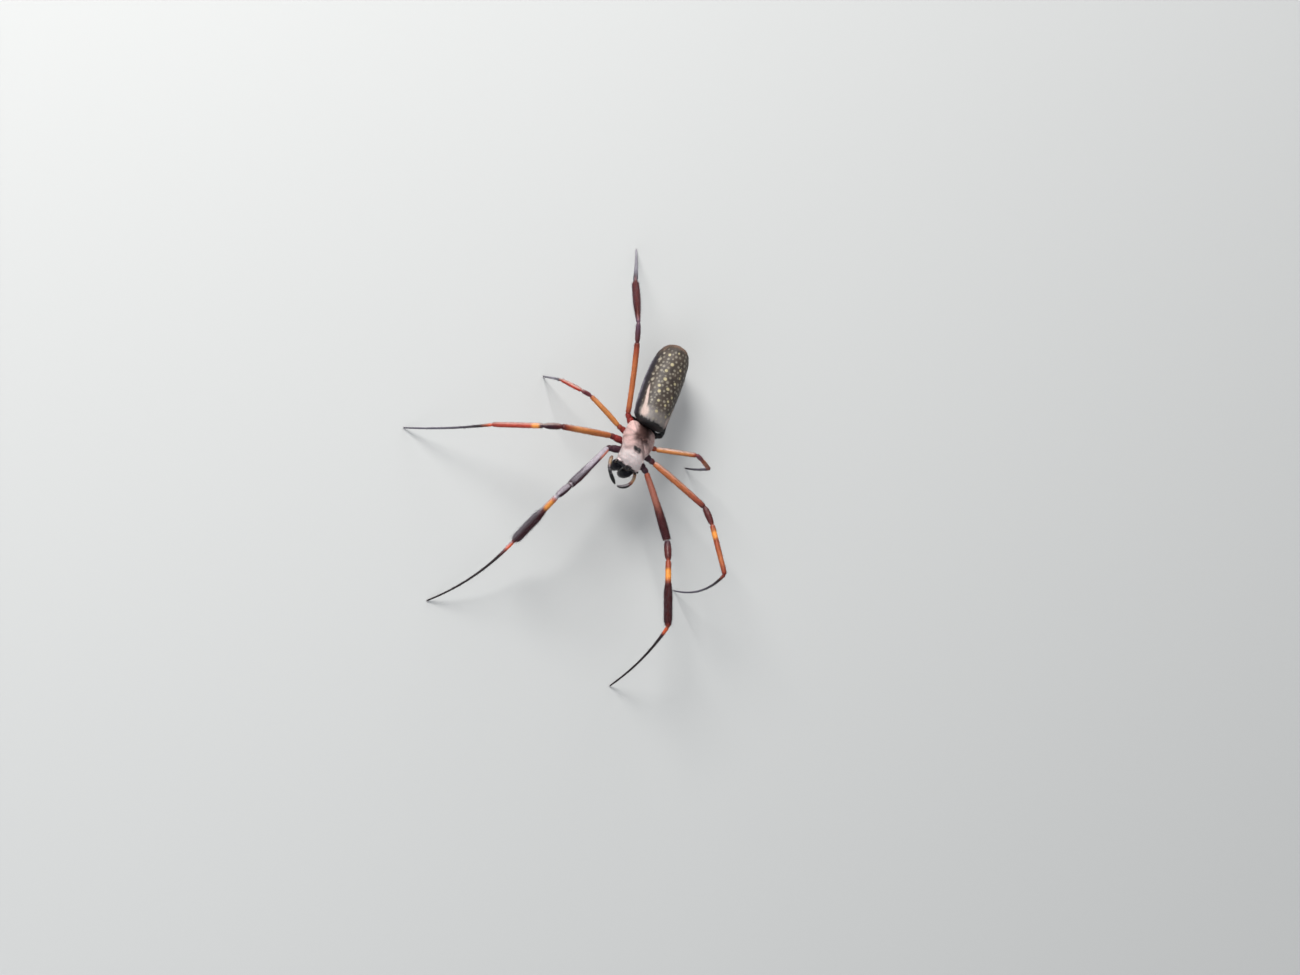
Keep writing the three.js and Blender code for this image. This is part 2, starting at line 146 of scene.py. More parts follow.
# Colours, in the 0 to 255 numbers of a screen
COLOURS = {
    "silver": (255, 230, 228), "rose_silver": (222, 192, 188), "bare_and_shadow_brown": (74, 46, 42),
    "black": (14, 13, 17), "blue_black": (11, 10, 18), "olive": (66, 56, 48), "olive_dark": (44, 35, 30),
    "cream": (160, 152, 136), "yellow_spot": (170, 160, 126), "shoulder": (188, 168, 160),
    "plum_black": (25, 16, 27), "hair_grey": (158, 152, 150), "rim_lilac": (148, 141, 158),
    "tail_brown": (132, 102, 84), "orange": (172, 97, 54), "amber": (190, 121, 64), "honey": (226, 146, 62),
    "rust": (144, 64, 40), "rust_red": (168, 58, 40), "mauve": (122, 62, 70), "rose": (196, 108, 84),
    "ember": (214, 92, 52), "salmon": (222, 136, 112), "tan_brown": (140, 84, 70),
    "red_maroon": (124, 34, 28), "maroon": (84, 32, 32), "plum": (58, 28, 40), "dark": (34, 22, 26),
    "lilac": (174, 166, 176), "plum_grey": (88, 62, 78), "slate": (84, 80, 92),
    # The whitish slate colour here is used only for painted glints
    "pale_slate": (142, 138, 148), "white_slate": (196, 188, 194), "sternum": (206, 116, 34),
    "bone": (196, 160, 112),
}


def colour(name):
    """A named colour as the linear light that materials use."""
    screen = np.array(COLOURS[name]) / 255
    return np.where(screen <= 0.04045, screen / 12.92, ((screen + 0.055) / 1.055) ** 2.4)


def mixed(under, over, share):
    return under + (over - under) * np.asarray(share)[..., None]


def per_point(values, shape):
    """Values for each ring, given to all its points. Values for each point stay as they are."""
    values = np.asarray(values)
    return np.broadcast_to(values[:, None], shape[:2]) if values.ndim == 1 else values


class Surface:
    """A closed skin over rings of points in millimetres, with a colour for each point."""

    def __init__(self, points):
        self.points = points
        self.paint = np.ones_like(points)
        self.refresh()

    def refresh(self):
        """Works out which way each point faces and which way the body runs there."""
        points = self.points
        self.along = unit(np.gradient(points, axis=0))
        across = np.roll(points, -1, 1) - np.roll(points, 1, 1)
        normals = unit(np.cross(across, self.along))
        outwards = ((points - points.mean(1, keepdims=True)) * normals).sum(-1)
        self.turned = np.sign(np.median(outwards))
        self.normals = normals * self.turned

    def push(self, distance):
        self.points = self.points + self.normals * distance[..., None]
        self.refresh()

    def place(self, transform):
        self.points = transform(self.points)
        self.refresh()
        return self

    def keep_above(self, height):
        self.points[..., 2] = np.maximum(self.points[..., 2], height)
        self.refresh()

    def fill(self, name, tone=1.0):
        """Paints all of it in a named colour, darkened or lightened by a tone."""
        self.paint = colour(name) * tone + 0 * self.points

    def band(self, at, stops):
        """Paints each ring in the colour that the stops have at its place."""
        self.paint = paint_stops(at, stops)[:, None, :] + 0 * self.points

    def layer(self, name, share, tone=1.0):
        """Lays a named colour over the paint, by a share for each point or each ring."""
        self.paint = mixed(self.paint, colour(name) * tone, per_point(share, self.points.shape))

    def facing(self, direction):
        """How far each point faces a direction, from -1 to 1."""
        return (self.normals * direction).sum(-1)


def grid_faces(rows, sides):
    """Four-sided faces between rings, and a fan of three-sided ones over each end."""
    ring = np.arange(sides)
    after = (ring + 1) % sides
    row = np.arange(rows - 1)[:, None] * sides
    quads = np.stack([row + ring, row + after, row + sides + after, row + sides + ring], -1).reshape(-1, 4)
    first, last, end = rows * sides, rows * sides + 1, (rows - 1) * sides
    start_fan = np.stack([after, ring, np.full(sides, first)], -1)
    end_fan = np.stack([end + ring, end + after, np.full(sides, last)], -1)
    return quads, np.concatenate([start_fan, end_fan])


def make_mesh(name, points, face_groups, paint, patches=None):
    """A mesh object from arrays: points in millimetres, faces by corner count, colours by point."""
    mesh = bpy.data.meshes.new(name)
    mesh.vertices.add(len(points))
    mesh.vertices.foreach_set("co", (points * MM).astype(np.float32).ravel())
    corners = np.concatenate([group.ravel() for group in face_groups])
    counts = np.concatenate([np.full(len(group), group.shape[1]) for group in face_groups])
    mesh.loops.add(len(corners))
    mesh.loops.foreach_set("vertex_index", corners.astype(np.int32))
    mesh.polygons.add(len(counts))
    starts = np.concatenate([[0], np.cumsum(counts)[:-1]])
    mesh.polygons.foreach_set("loop_start", starts.astype(np.int32))
    mesh.polygons.foreach_set("use_smooth", np.ones(len(counts), bool))
    layer = mesh.color_attributes.new("paint", "FLOAT_COLOR", "POINT")
    rgba = np.concatenate([paint, np.ones((len(paint), 1))], 1).astype(np.float32)
    layer.data.foreach_set("color", rgba.ravel())
    if patches is not None:
        unwrap = mesh.uv_layers.new(name="OFBake")
        unwrap.data.foreach_set("uv", patches[corners].astype(np.float32).ravel())
    mesh.update(calc_edges=True)
    mesh.validate()
    made = bpy.data.objects.new(name, mesh)
    bpy.context.scene.collection.objects.link(made)
    return made


def finish_piece(piece, material, replaced=()):
    piece.data.materials.append(MATERIALS[material])
    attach(piece, "root")
    if replaced:
        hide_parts(*replaced)


def skin_mesh(name, surfaces, material, replaced=()):
    """One piece from one or more surfaces, with every face turned outwards."""
    points, quads, fans, paint, offset = [], [], [], [], 0
    for surface in surfaces:
        rows, sides, _ = surface.points.shape
        points += [surface.points.reshape(-1, 3), surface.points[[0, -1]].mean(1)]
        paint += [surface.paint.reshape(-1, 3), surface.paint[[0, -1]].mean(1)]
        for group, faces in zip((quads, fans), grid_faces(rows, sides)):
            group.append((faces if surface.turned > 0 else faces[:, ::-1]) + offset)
        offset += rows * sides + 2
    piece = make_mesh(name, np.concatenate(points), [np.concatenate(quads), np.concatenate(fans)],
                      np.concatenate(paint))
    finish_piece(piece, material, replaced)


class Roots:
    """Random places on a surface where hairs grow, thickest where the weight is most."""

    def __init__(self, surface, count, weight, seed):
        points = surface.points
        self.shape = points.shape[:2]
        step_row = points[1:] - points[:-1]
        step_side = np.roll(points, -1, 1)[:-1] - points[:-1]
        weight = per_point(weight, self.shape)
        chance = np.linalg.norm(np.cross(step_row, step_side), axis=-1) * weight[:-1]
        chance = chance.ravel() / chance.sum()
        self.draw = np.random.default_rng(seed)
        cell = self.draw.choice(len(chance), max(8, int(count * DETAIL)), p=chance)
        self.row, self.side = cell // self.shape[1], cell % self.shape[1]
        self.a, self.b = self.draw.random(len(cell)), self.draw.random(len(cell))
        self.points = self.read(points)
        self.normals = unit(self.read(surface.normals))
        along = self.read(surface.along)
        self.along = unit(along - self.normals * (along * self.normals).sum(-1, keepdims=True))
        self.paint = self.read(surface.paint)

    def read(self, grid):
        """The grid's values at the roots."""
        grid = per_point(grid, self.shape)
        a, b = (v.reshape((-1,) + (1,) * (grid.ndim - 2)) for v in (self.a, self.b))
        after = (self.side + 1) % self.shape[1]
        low = grid[self.row, self.side] * (1 - b) + grid[self.row, after] * b
        high = grid[self.row + 1, self.side] * (1 - b) + grid[self.row + 1, after] * b
        return low * (1 - a) + high * a

    def varied(self, low, high):
        """A random factor for the colour of each hair."""
        return self.draw.uniform(low, high, (len(self.a), 1))

    def patch_places(self):
        """Where each root lies on the skin's own unwrap, away from its rim."""
        along = (self.row + self.a) / (self.shape[0] - 1)
        around = (self.side + self.b) / self.shape[1]
        return 0.01 + 0.98 * np.stack([around, along], -1)


# The patch that one tuft takes on the unwrap: three corners at the root, three halfway, and the tip
PATCH = 0.0015 * np.array([[-1, -1], [1, -1], [0, -0.4], [-0.5, 0.2], [0.5, 0.2], [0, 0.5], [0, 1]])
ROOT_SUNK = 0.02
ROOT_TONE, TIP_TONE = 0.85, 1.1
HAIR_ABOVE_FLOOR = 0.004
LEAST_WEIGHT = 1e-9
RING_ANGLES = (0.5, 2.6, 4.7)
MIDDLE_WIDTH = 0.36


def hairs(roots, tint, length, width, lift, bend=0.5, sweep=0.25, straight=False):
    """Hairs of one form: three-sided spikes that leave the skin at their lift and bend over."""
    draw, count = roots.draw, len(roots.points)
    length = length * draw.uniform(0.7, 1.15, count)[:, None]
    lift = np.radians(lift) * draw.uniform(0.7, 1.3, count)[:, None]
    side = unit(np.cross(roots.normals, roots.along))
    lie = unit(roots.along + side * sweep * draw.normal(0, 1, count)[:, None])
    late = lift * (1 - bend)
    start = roots.points - roots.normals * ROOT_SUNK
    middle = start + (lie * np.cos(lift) + roots.normals * np.sin(lift)) * length * 0.5
    tip = middle + (lie * np.cos(late) + roots.normals * np.sin(late)) * length * 0.5
    flat = unit(np.cross(lie, roots.normals))
    over = unit(np.cross(flat, lie))
    rings = []
    for centre, radius in ((start, width / 2), (middle, width * MIDDLE_WIDTH)):
        for angle in RING_ANGLES:
            rings.append(centre + radius * (flat * math.cos(angle) + over * math.sin(angle)))
    corners = np.stack([*rings, tip], 1)
    return roots, tint, corners[:, SPIKE_CORNERS] if straight else corners


HAIR_FACES = np.array([[0, 2, 1], [3, 4, 6], [4, 5, 6], [5, 3, 6]])
HAIR_SIDES = np.array([[0, 1, 4, 3], [1, 2, 5, 4], [2, 0, 3, 5]])
SPIKE_FACES = np.array([[0, 2, 1], [0, 1, 3], [1, 2, 3], [2, 0, 3]])
SPIKE_CORNERS = [0, 1, 2, 6]


def coat(name, groups, material="hair"):
    """One piece of many hairs, from one or more groups of them."""
    points, triangles, quads, paint, patches, offset = [], [], [], [], [], 0
    for roots, tint, corners in groups:
        count, per_hair = corners.shape[:2]
        straight = per_hair == len(SPIKE_CORNERS)
        starts = offset + np.arange(count)[:, None, None] * per_hair
        triangles.append((starts + (SPIKE_FACES if straight else HAIR_FACES)).reshape(-1, 3))
        if not straight:
            quads.append((starts + HAIR_SIDES).reshape(-1, 4))
        shades = np.linspace(ROOT_TONE, TIP_TONE, per_hair)[:, None]
        tones = np.broadcast_to(tint, (count, 3))[:, None, :] * shades
        marks = PATCH[SPIKE_CORNERS] if straight else PATCH
        points.append(corners.reshape(-1, 3))
        paint.append(tones.reshape(-1, 3))
        patches.append((roots.patch_places()[:, None, :] + marks).reshape(-1, 2))
        offset += count * per_hair
    points = np.concatenate(points)
    points[:, 2] = np.maximum(points[:, 2], HAIR_ABOVE_FLOOR)
    piece = make_mesh(name, points, [np.concatenate(triangles), np.concatenate(quads)],
                      np.clip(np.concatenate(paint), 0, 1), np.concatenate(patches))
    finish_piece(piece, material)


# Materials

def nodes_of(name):
    material = bpy.data.materials.new(name)
    material.use_nodes = True
    tree = material.node_tree
    return material, tree, tree.nodes["Principled BSDF"]


def add_node(tree, kind, inputs=(), **settings):
    """A shader node, with its inputs set to values or linked to other nodes' outputs."""
    node = tree.nodes.new(kind)
    for key, value in settings.items():
        setattr(node, key, value)
    for key, value in dict(inputs).items():
        if isinstance(value, bpy.types.NodeSocket):
            tree.links.new(value, node.inputs[key])
        else:
            node.inputs[key].default_value = value
    return node


def add_noise(tree, place, scale, detail, roughness):
    inputs = {"Vector": place, "Scale": scale, "Detail": detail, "Roughness": roughness}
    return add_node(tree, "ShaderNodeTexNoise", inputs).outputs["Fac"]


def add_range(tree, value, start, end, low, high):
    """Turns values from start to end into values from low to high."""
    inputs = {"Value": value, "From Min": start, "From Max": end, "To Min": low, "To Max": high}
    return add_node(tree, "ShaderNodeMapRange", inputs).outputs["Result"]


def painted(name, roughness, variation, grain, bump, bump_size, specular=0.5):
    """A finish that takes its colour from the painted points, varied, with fine relief.

    Grain and bump size are how many features go in a metre.
    """
    material, tree, shader = nodes_of(name)
    place = add_node(tree, "ShaderNodeTexCoord").outputs["Object"]
    paint = add_node(tree, "ShaderNodeAttribute", attribute_name="paint").outputs["Color"]
    fine = add_noise(tree, place, grain, 4, 0.6)
    wide = add_noise(tree, place, grain / 9, 3, 0.5)
    both = add_node(tree, "ShaderNodeMath", {0: fine, 1: wide}, operation="ADD").outputs["Value"]
    shade = add_range(tree, both, 0.6, 1.4, 1 - variation, 1 + variation)
    tinted = add_node(tree, "ShaderNodeVectorMath", {0: paint, "Scale": shade}, operation="SCALE")
    rough = add_range(tree, fine, 0.3, 0.7, roughness * 0.8, min(1, roughness * 1.2))
    relief = add_noise(tree, place, bump_size, 5, 0.65)
    bumps = {"Strength": bump, "Distance": 0.25 / bump_size, "Height": relief}
    raised = add_node(tree, "ShaderNodeBump", bumps)
    tree.links.new(tinted.outputs["Vector"], shader.inputs["Base Color"])
    tree.links.new(rough, shader.inputs["Roughness"])
    tree.links.new(raised.outputs["Normal"], shader.inputs["Normal"])
    shader.inputs["Specular IOR Level"].default_value = specular
    return material


# For each finish: roughness, how much its colour varies, grain, bump, bump size and shine
FINISHES = {
    "shell": (0.5, 0.16, 6000, 0.5, 7000),
    "leg_shell": (0.43, 0.14, 5000, 0.4, 6000, 0.4),
    "abdomen_skin": (0.52, 0.2, 7000, 0.55, 5200),
    "jaw_shell": (0.33, 0.3, 4000, 0.2, 5000, 0.13),
    "claw_shell": (0.3, 0.1, 9000, 0.1, 9000, 0.25),
    "hair": (0.55, 0.22, 3500, 0.0, 9000, 0.22),
    "silver_hair": (0.6, 0.15, 3500, 0.0, 9000, 0.3),
    "eye_glass": (0.07, 0.1, 2500, 0.0, 3000, 0.4),
}
MATERIALS = {name: painted(name, *numbers) for name, numbers in FINISHES.items()}


# Shapes over oval sections, as in the frame

WIDEST_AT = 0.35


def oval_surface(table, rows, sides, squareness, blur):
    """A body shape over rows of place along Y, half width, top and bottom, with rounded corners."""
    table = np.array(table, float)
    steps = np.linalg.norm(np.diff(table[:, :3], axis=0), axis=1)
    keys = np.concatenate([[0], np.cumsum(steps)])
    at = np.linspace(0, keys[-1], rows)
    y, wide, top, bottom = (smoothed(keys, column, at, blur)[:, None] for column in table.T)
    angle = np.linspace(0, 2 * np.pi, sides, endpoint=False)[None, :]
    middle = bottom + (top - bottom) * WIDEST_AT
    reach = np.where(np.sin(angle) > 0, top - middle, middle - bottom)
    x = wide * np.sign(np.cos(angle)) * np.abs(np.cos(angle)) ** squareness
    z = middle + reach * np.sign(np.sin(angle)) * np.abs(np.sin(angle)) ** squareness
    return Surface(np.stack([x, y + 0 * x, z], -1))


def bezier(points, share):
    """A curve from the first point to the last, drawn towards the ones between."""
    share = np.asarray(share)[:, None]
    points = [np.asarray(point) + 0 * share for point in points]
    while len(points) > 1:
        points = [a + (b - a) * share for a, b in zip(points, points[1:])]
    return points[0]


def tube_surface(centres, radii, sides, upwards, flat=1.0):
    """A round limb along centres, with its first side uppermost, carried along without twist."""
    along = unit(np.gradient(centres, axis=0))
    up = np.array(upwards, float)
    ups = np.empty_like(centres)
    for at, direction in enumerate(along):
        up = unit(up - direction * (up @ direction))
        ups[at] = up
    across = np.cross(along, ups)
    angle = np.linspace(0, 2 * np.pi, sides, endpoint=False)
    ring = ups[:, None, :] * np.cos(angle)[None, :, None]
    ring = ring + flat * across[:, None, :] * np.sin(angle)[None, :, None]
    return Surface(centres[:, None, :] + ring * radii[:, None, None])


def spread_rows(rows):
    """Shares from 0 to 1, closer together near both ends."""
    even = np.linspace(0, 1, rows)
    return 0.5 * even + 0.5 * (0.5 - 0.5 * np.cos(np.pi * even))


# Head and thorax

CARAPACE = [
    [-5.68, 0.5, 1.08, 0.86], [-5.65, 1.15, 1.22, 0.62], [-5.55, 1.72, 1.42, 0.45],
    [-5.28, 2.2, 1.88, 0.36], [-4.6, 2.46, 2.38, 0.34], [-3.4, 2.46, 2.58, 0.4], [-2.2, 2.5, 2.44, 0.42],
    [-1.1, 2.93, 2.04, 0.48], [0.2, 3.23, 1.94, 0.48], [1.5, 3.13, 1.84, 0.48], [2.45, 2.82, 1.4, 0.48],
    [3.05, 2.4, 1.0, 0.48], [3.34, 1.55, 0.74, 0.48], [3.41, 0.6, 0.62, 0.5],
]
FOVEA = (0.0, 0.95)
TUBERCLE_AT = (0.38, -1.75)
EYE_NAMES = [f"eye_{row}_{word}" for row in ("front_middle", "rear_middle", "front_side", "rear_side")
             for word in ("right", "left")]
EYE_RADIUS = 0.21


def eye_centre(name):
    low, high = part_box(name)
    return to_body(np.array((low + high) / 2) / MM)


def from_line(x, y, start, end):
    """How far places are from a line between two points."""
    start, end = np.array(start), np.array(end)
    run = end - start
    share = np.clip(((x - start[0]) * run[0] + (y - start[1]) * run[1]) / (run @ run), 0, 1)
    return np.hypot(x - start[0] - share * run[0], y - start[1] - share * run[1])


def carapace_relief(points):
    """Grooves, pit, tubercles and eye mounds of the head and thorax, as heights above the plain shell."""
    x, y, z = np.moveaxis(points, -1, 0)
    upper = smooth_step(z, 0.7, 1.3)
    height = -0.2 * bell(from_line(np.abs(x), y, FOVEA, (0.45, 0.8)), 0, 0.22)
    height -= 0.13 * bell(from_line(np.abs(x), y, (0.3, 0.5), (2.7, -2.1)), 0, 0.3)
    for end in ((3.2, -0.4), (3.3, 1.2), (2.2, 2.9)):
        height -= 0.07 * bell(from_line(np.abs(x), y, (0.8, 1.0), end), 0, 0.2)
    height -= 0.05 * bell(x, 0, 0.16) * smooth_step(-y, -0.4, 1.2) * smooth_step(y, -4.6, -2.6)
    height = height * upper
    spots = np.hypot(np.abs(x) - TUBERCLE_AT[0], y - TUBERCLE_AT[1])
    height += 0.42 * np.clip(1 - spots / 0.27, 0, 1) ** 0.8 * upper
    height += 0.05 * bell(z, 0.62, 0.14) * smooth_step(y, -4.5, -3.0)
    for name in EYE_NAMES:
        away = np.linalg.norm(points - eye_centre(name), axis=-1)
        height += 0.17 * smooth_step(-away, -0.66, -0.3)
    return height + 0.012 * lumps(points, size=0.35, seed=3)


def paint_carapace(shell):
    """Silvery hair over the shell, a dark middle towards the waist that is bare cuticle and painted shadow of
    the abdomen, and dark round the eyes.
    """
    x, y, z = np.moveaxis(shell.points, -1, 0)
    mottle = lumps(shell.points, size=0.5, seed=11)
    shell.fill("silver")
    shell.layer("rose_silver", smooth_step(y + 0.6 * mottle, -2.6, -0.6))
    shell.layer("rose_silver", 0.75 * bell(from_line(np.abs(x), y, (0.2, -1.0), (1.9, -2.3)), 0, 0.45), 0.5)
    for end in ((3.0, -0.6), (3.1, 1.1), (1.9, 2.8)):
        ray = bell(from_line(np.abs(x), y, (0.9, 0.9), end), 0, 0.2 + 0.1 * mottle)
        shell.layer("bare_and_shadow_brown", 0.35 * ray)
    # The dark middle towards the waist is partly bare cuticle and partly the overhanging abdomen's shadow,
    # painted on
    bare = fade(np.abs(x - 0.15) + 0.25 * mottle, 0.75, 1.9 - 0.15 * (y - 2))
    bare = bare * smooth_step(y + 0.3 * mottle, -1.2, 0.8) * fade(y, 3.9, 4.4)
    shell.layer("bare_and_shadow_brown", 0.95 * bare)
    shell.layer("bare_and_shadow_brown", 0.6 * bell(np.hypot(x, y - FOVEA[1]), 0, 0.42))
    spots = np.hypot(np.abs(x) - TUBERCLE_AT[0] * 0.8, y - TUBERCLE_AT[1])
    shell.layer("black", 0.97 * fade(spots + 0.05 * mottle, 0.44, 0.66), 1.3)
    shell.layer("blue_black", smooth_step(-y + 0.25 * mottle, 5.05, 5.35) * fade(z, 2.05, 2.4))
    shell.layer("bare_and_shadow_brown", 0.8 * fade(z, 0.45, 0.6))


def make_carapace():
    shell = oval_surface(CARAPACE, rows=230, sides=200, squareness=0.86, blur=0.28)
    shell.push(carapace_relief(shell.points))
    paint_carapace(shell)
    local = shell.points
    shell.place(from_body)
    skin_mesh("carapace_shell", [shell], "shell", ["carapace"])
    carapace_coat(shell, local)


def carapace_coat(shell, local):
    """Short silver hair that lies forwards on the head and outwards from the middle behind it."""
    x, y, z = np.moveaxis(local, -1, 0)
    dark = shell.paint.mean(-1) < 0.06
    cover = smooth_step(z, 0.5, 0.75) * smooth_step(y, -5.45, -5.1)
    cover = cover * np.where(dark, 0.12, 1.0) * (1 + 2 * bell(np.hypot(x, y - 1), 0, 0.6))
    shell.along = unit(carapace_lie(local) @ BODY_TURN.T)
    fur = Roots(shell, count=44000, weight=cover, seed=21)
    tint = np.clip(fur.paint * fur.varied(0.9, 1.3), 0, 1)
    tall = Roots(shell, count=700, weight=cover * smooth_step(y, -5.6, -4.2), seed=22)
    coat("carapace_coat", [
        hairs(fur, tint, length=0.36, width=0.046, lift=10, sweep=0.3, straight=True),
        hairs(tall, tall.paint * 0.9, length=0.55, width=0.03, lift=38, bend=0.8, sweep=0.3),
    ], "silver_hair")


def carapace_lie(local):
    """Directions in which the hair lies, in the body's frame."""
    x, y = local[..., 0], local[..., 1]
    head = smooth_step(-y, 1.2, 2.4)
    sideways = np.sign(x) * smooth_step(np.abs(x), 0, 1.5) * (0.9 - 0.6 * head)
    ahead = -head + (1 - head) * np.where(y > 1, 0.6, -0.2)
    return np.stack([sideways, ahead, -0.35 * np.abs(sideways)], -1)


STERNUM = [
    [-4.75, 0.5, -0.15, -0.45], [-4.65, 0.85, 0.0, -0.75], [-4.3, 1.3, 0.05, -1.0],
    [-3.2, 1.62, 0.08, -1.24], [-1.6, 1.88, 0.12, -1.34], [0.2, 1.84, 0.12, -1.3], [1.9, 1.4, 0.12, -1.1],
    [2.9, 0.85, 0.1, -0.75], [3.3, 0.35, 0.05, -0.5],
]
PLEURA = [
    [-5.2, 1.1, 0.75, -0.1], [-4.8, 1.8, 0.9, -0.25], [-3.6, 2.1, 1.0, -0.3], [-1.0, 2.45, 1.0, -0.3],
    [1.4, 2.55, 1.0, -0.3], [2.6, 2.5, 0.8, -0.2], [3.2, 2.9, 0.5, -0.2], [3.75, 3.1, 0.2, -0.3],
    [4.12, 2.6, 0.0, -0.25],
]
HEART_WIDTHS = [(-3.2, 0.9), (-2.6, 1.5), (-1.4, 1.62), (0.4, 1.3), (2.0, 0.75), (3.1, 0.1)]
STERNUM_HUMPS = [(1.15, -2.5), (1.2, -0.95), (1.1, 0.65), (0.8, 2.0), (0.0, 2.8)]


def sternum_plate():
    """The heart-shaped plate, with a hump by each leg and the lip at its front."""
    plate = oval_surface(STERNUM, rows=130, sides=110, squareness=0.8, blur=0.25)
    x, y, z = np.moveaxis(plate.points, -1, 0)
    under = smooth_step(-z, 0.5, 0.9)
    height = 0.012 * lumps(plate.points, size=0.4, seed=5)
    for across, along in STERNUM_HUMPS:
        height = height + 0.1 * under * bell(np.hypot(np.abs(x) - across, y - along), 0, 0.4)
    plate.push(height - 0.14 * under * bell(y + 0.1 * x * x, -3.15, 0.12))
    mottle = lumps(plate.points, size=0.6, seed=6)
    heart = under * smooth_step(y, -3.2, -3.0) * fade(y + 0.2 * mottle, 2.6, 3.1)
    heart_width = np.interp(y, *np.array(HEART_WIDTHS).T)
    heart = heart * fade(np.abs(x) - heart_width + 0.08 * mottle, -0.12, 0.06)
    plate.fill("plum")
    plate.layer("sternum", heart * (0.85 + 0.15 * mottle), 0.9)
    return plate.place(from_body), under


def pleura_skin():
    """The soft sides between the plate and the shell, with the fold behind the hind legs painted black as
    shade under the waist.
    """
    sides = oval_surface(PLEURA, rows=60, sides=80, squareness=0.8, blur=0.25)
    sides.push(0.03 * lumps(sides.points, size=0.5, seed=8))
    # Painted shade: the fold behind the hind legs is black, for the shade under the waist
    rear_shade = smooth_step(sides.points[..., 1], 2.6, 3.1)
    sides.fill("maroon", 0.55)
    sides.layer("black", rear_shade)
    return sides.place(from_body), rear_shade


def make_sternum():
    plate, under = sternum_plate()
    sides, rear_shade = pleura_skin()
    mouth = [mouth_plate(side) for side in (-1, 1)]
    skin_mesh("sternum_plate", [plate, sides, *mouth], "leg_shell", ["sternum"])
    form = {"length": 0.4, "width": 0.03, "lift": 40, "bend": 0.4, "sweep": 0.6}
    coat("sternum_coat", [
        hairs(Roots(plate, count=1500, weight=under + 0.0001, seed=31), colour("dark"), **form),
        # Black hair on the fold keeps its painted shade
        hairs(Roots(sides, count=1500, weight=rear_shade + 1e-6, seed=32), colour("black"), **form),
    ])


def mouth_plate(side):
    """One of the two plates beside the lip, at the feeler's base."""
    share = spread_rows(26)
    path = bezier([(side * 1.35, -3.7, -0.75), (side * 1.2, -4.5, -1.3), (side * 0.5, -5.0, -1.3)], share)
    radii = np.interp(share, [0, 0.1, 0.4, 0.8, 0.95, 1], [0.2, 0.38, 0.48, 0.46, 0.3, 0.08])
    lobe = tube_surface(path, radii, 28, (0, 0, 1), 0.8)
    lobe.fill("maroon", 0.7)
    lobe.layer("rust", share)
    return lobe.place(from_body)


# Waist, abdomen and spinnerets

ABDOMEN = [
    [0.006, 0.7, 0.4, 0.2], [0.008, 1.5, 1.1, 0.7], [0.016, 2.35, 1.85, 1.3], [0.035, 2.95, 2.35, 1.85],
    [0.07, 3.27, 2.58, 2.25], [0.15, 3.45, 2.75, 2.65], [0.3, 3.55, 2.85, 3.0], [0.52, 3.65, 2.9, 3.08],
    [0.68, 3.57, 2.85, 2.94], [0.84, 3.19, 2.65, 2.5], [0.92, 2.62, 2.25, 1.98], [0.965, 1.95, 1.72, 1.4],
    [0.985, 1.2, 1.15, 0.9], [0.99, 0.4, 0.5, 0.3],
]
SPINNERETS_AT = 0.8
LEFT_SHOULDER = 0.7
EPIGYNE_AT = 0.26
LUNGS_AT = 0.16
AROUND_RADIUS = 3.5
BELLY_HAIR_FROM = 84
DOTS = {"spacing": 0.92, "size": 0.28, "seed": 51}

# Spots of the back: share of the length, degrees off the middle to the spider's right, radius
BIG_SPOTS = [
    (0.16, 12, 0.33), (0.28, 18, 0.31), (0.38, 26, 0.36), (0.44, 32, 0.34), (0.44, 4, 0.34),
    (0.53, 22, 0.38), (0.625, 28, 0.34), (0.715, 18, 0.38), (0.815, 38, 0.33), (0.32, -10, 0.28),
    (0.265, -6, 0.26), (0.16, -24, 0.32), (0.215, -36, 0.28), (0.38, -18, 0.28), (0.53, -10, 0.3),
    (0.62, -20, 0.28), (0.70, -12, 0.28), (0.87, 10, 0.26),
]
SMALL_SPOTS = [
    (0.545, 40, 0.26), (0.485, 38, 0.26), (0.725, 36, 0.25), (0.26, 38, 0.26), (0.33, 30, 0.25),
    (0.46, -30, 0.25), (0.58, -34, 0.25), (0.78, -8, 0.24), (0.62, 6, 0.25), (0.355, 8, 0.24),
]
EDGE_SPOTS = [(0.49, 60, 0.36), (0.555, 63, 0.3), (0.635, 58, 0.38), (0.745, 64, 0.44), (0.825, 60, 0.3)]


def abdomen_surface():
    """The skin, the share of the length at each point and its angle off the middle of the back."""
    table = [[share * ABDOMEN_LENGTH, wide, above, -below] for share, wide, above, below in ABDOMEN]
    shape = oval_surface(table, rows=290, sides=250, squareness=0.94, blur=0.3)
    y, z = shape.points[..., 1], shape.points[..., 2]
    share = y / ABDOMEN_LENGTH
    lean = BELLY_LEANS + (RIM_LEANS - BELLY_LEANS) * smooth_step(z, -0.3, 0.3)
    shape.points[..., 1] = y - lean * (1 - share) ** 2 * z
    shape.refresh()
    angle = np.linspace(0, 360, shape.points.shape[1], endpoint=False)[None, :] - 90
    return shape, share, np.where(angle > 180, angle - 360, angle) + 0 * share


def from_spot(share, angle, middle, off):
    """How far each point is from a place on the back, in millimetres over the skin."""
    return np.hypot((share - middle) * ABDOMEN_LENGTH, np.radians(angle - off) * AROUND_RADIUS)


def spot_mask(share, angle, spots, mirrored=False):
    """1 inside each round spot of the back, with a soft edge."""
    mask = np.zeros_like(share)
    for middle, off, radius in spots:
        for side in ((-1, 1) if mirrored else (1,)):
            away = from_spot(share, angle, middle, side * off)
            mask = np.maximum(mask, fade(away, radius * 0.55, radius * 1.1))
    return mask


def clear_of(share, angle, spots, margin):
    """0 where a large spot is near, and 1 elsewhere."""
    wider = [(middle, off, radius + margin) for middle, off, radius in spots]
    return 1 - spot_mask(share, angle, wider)


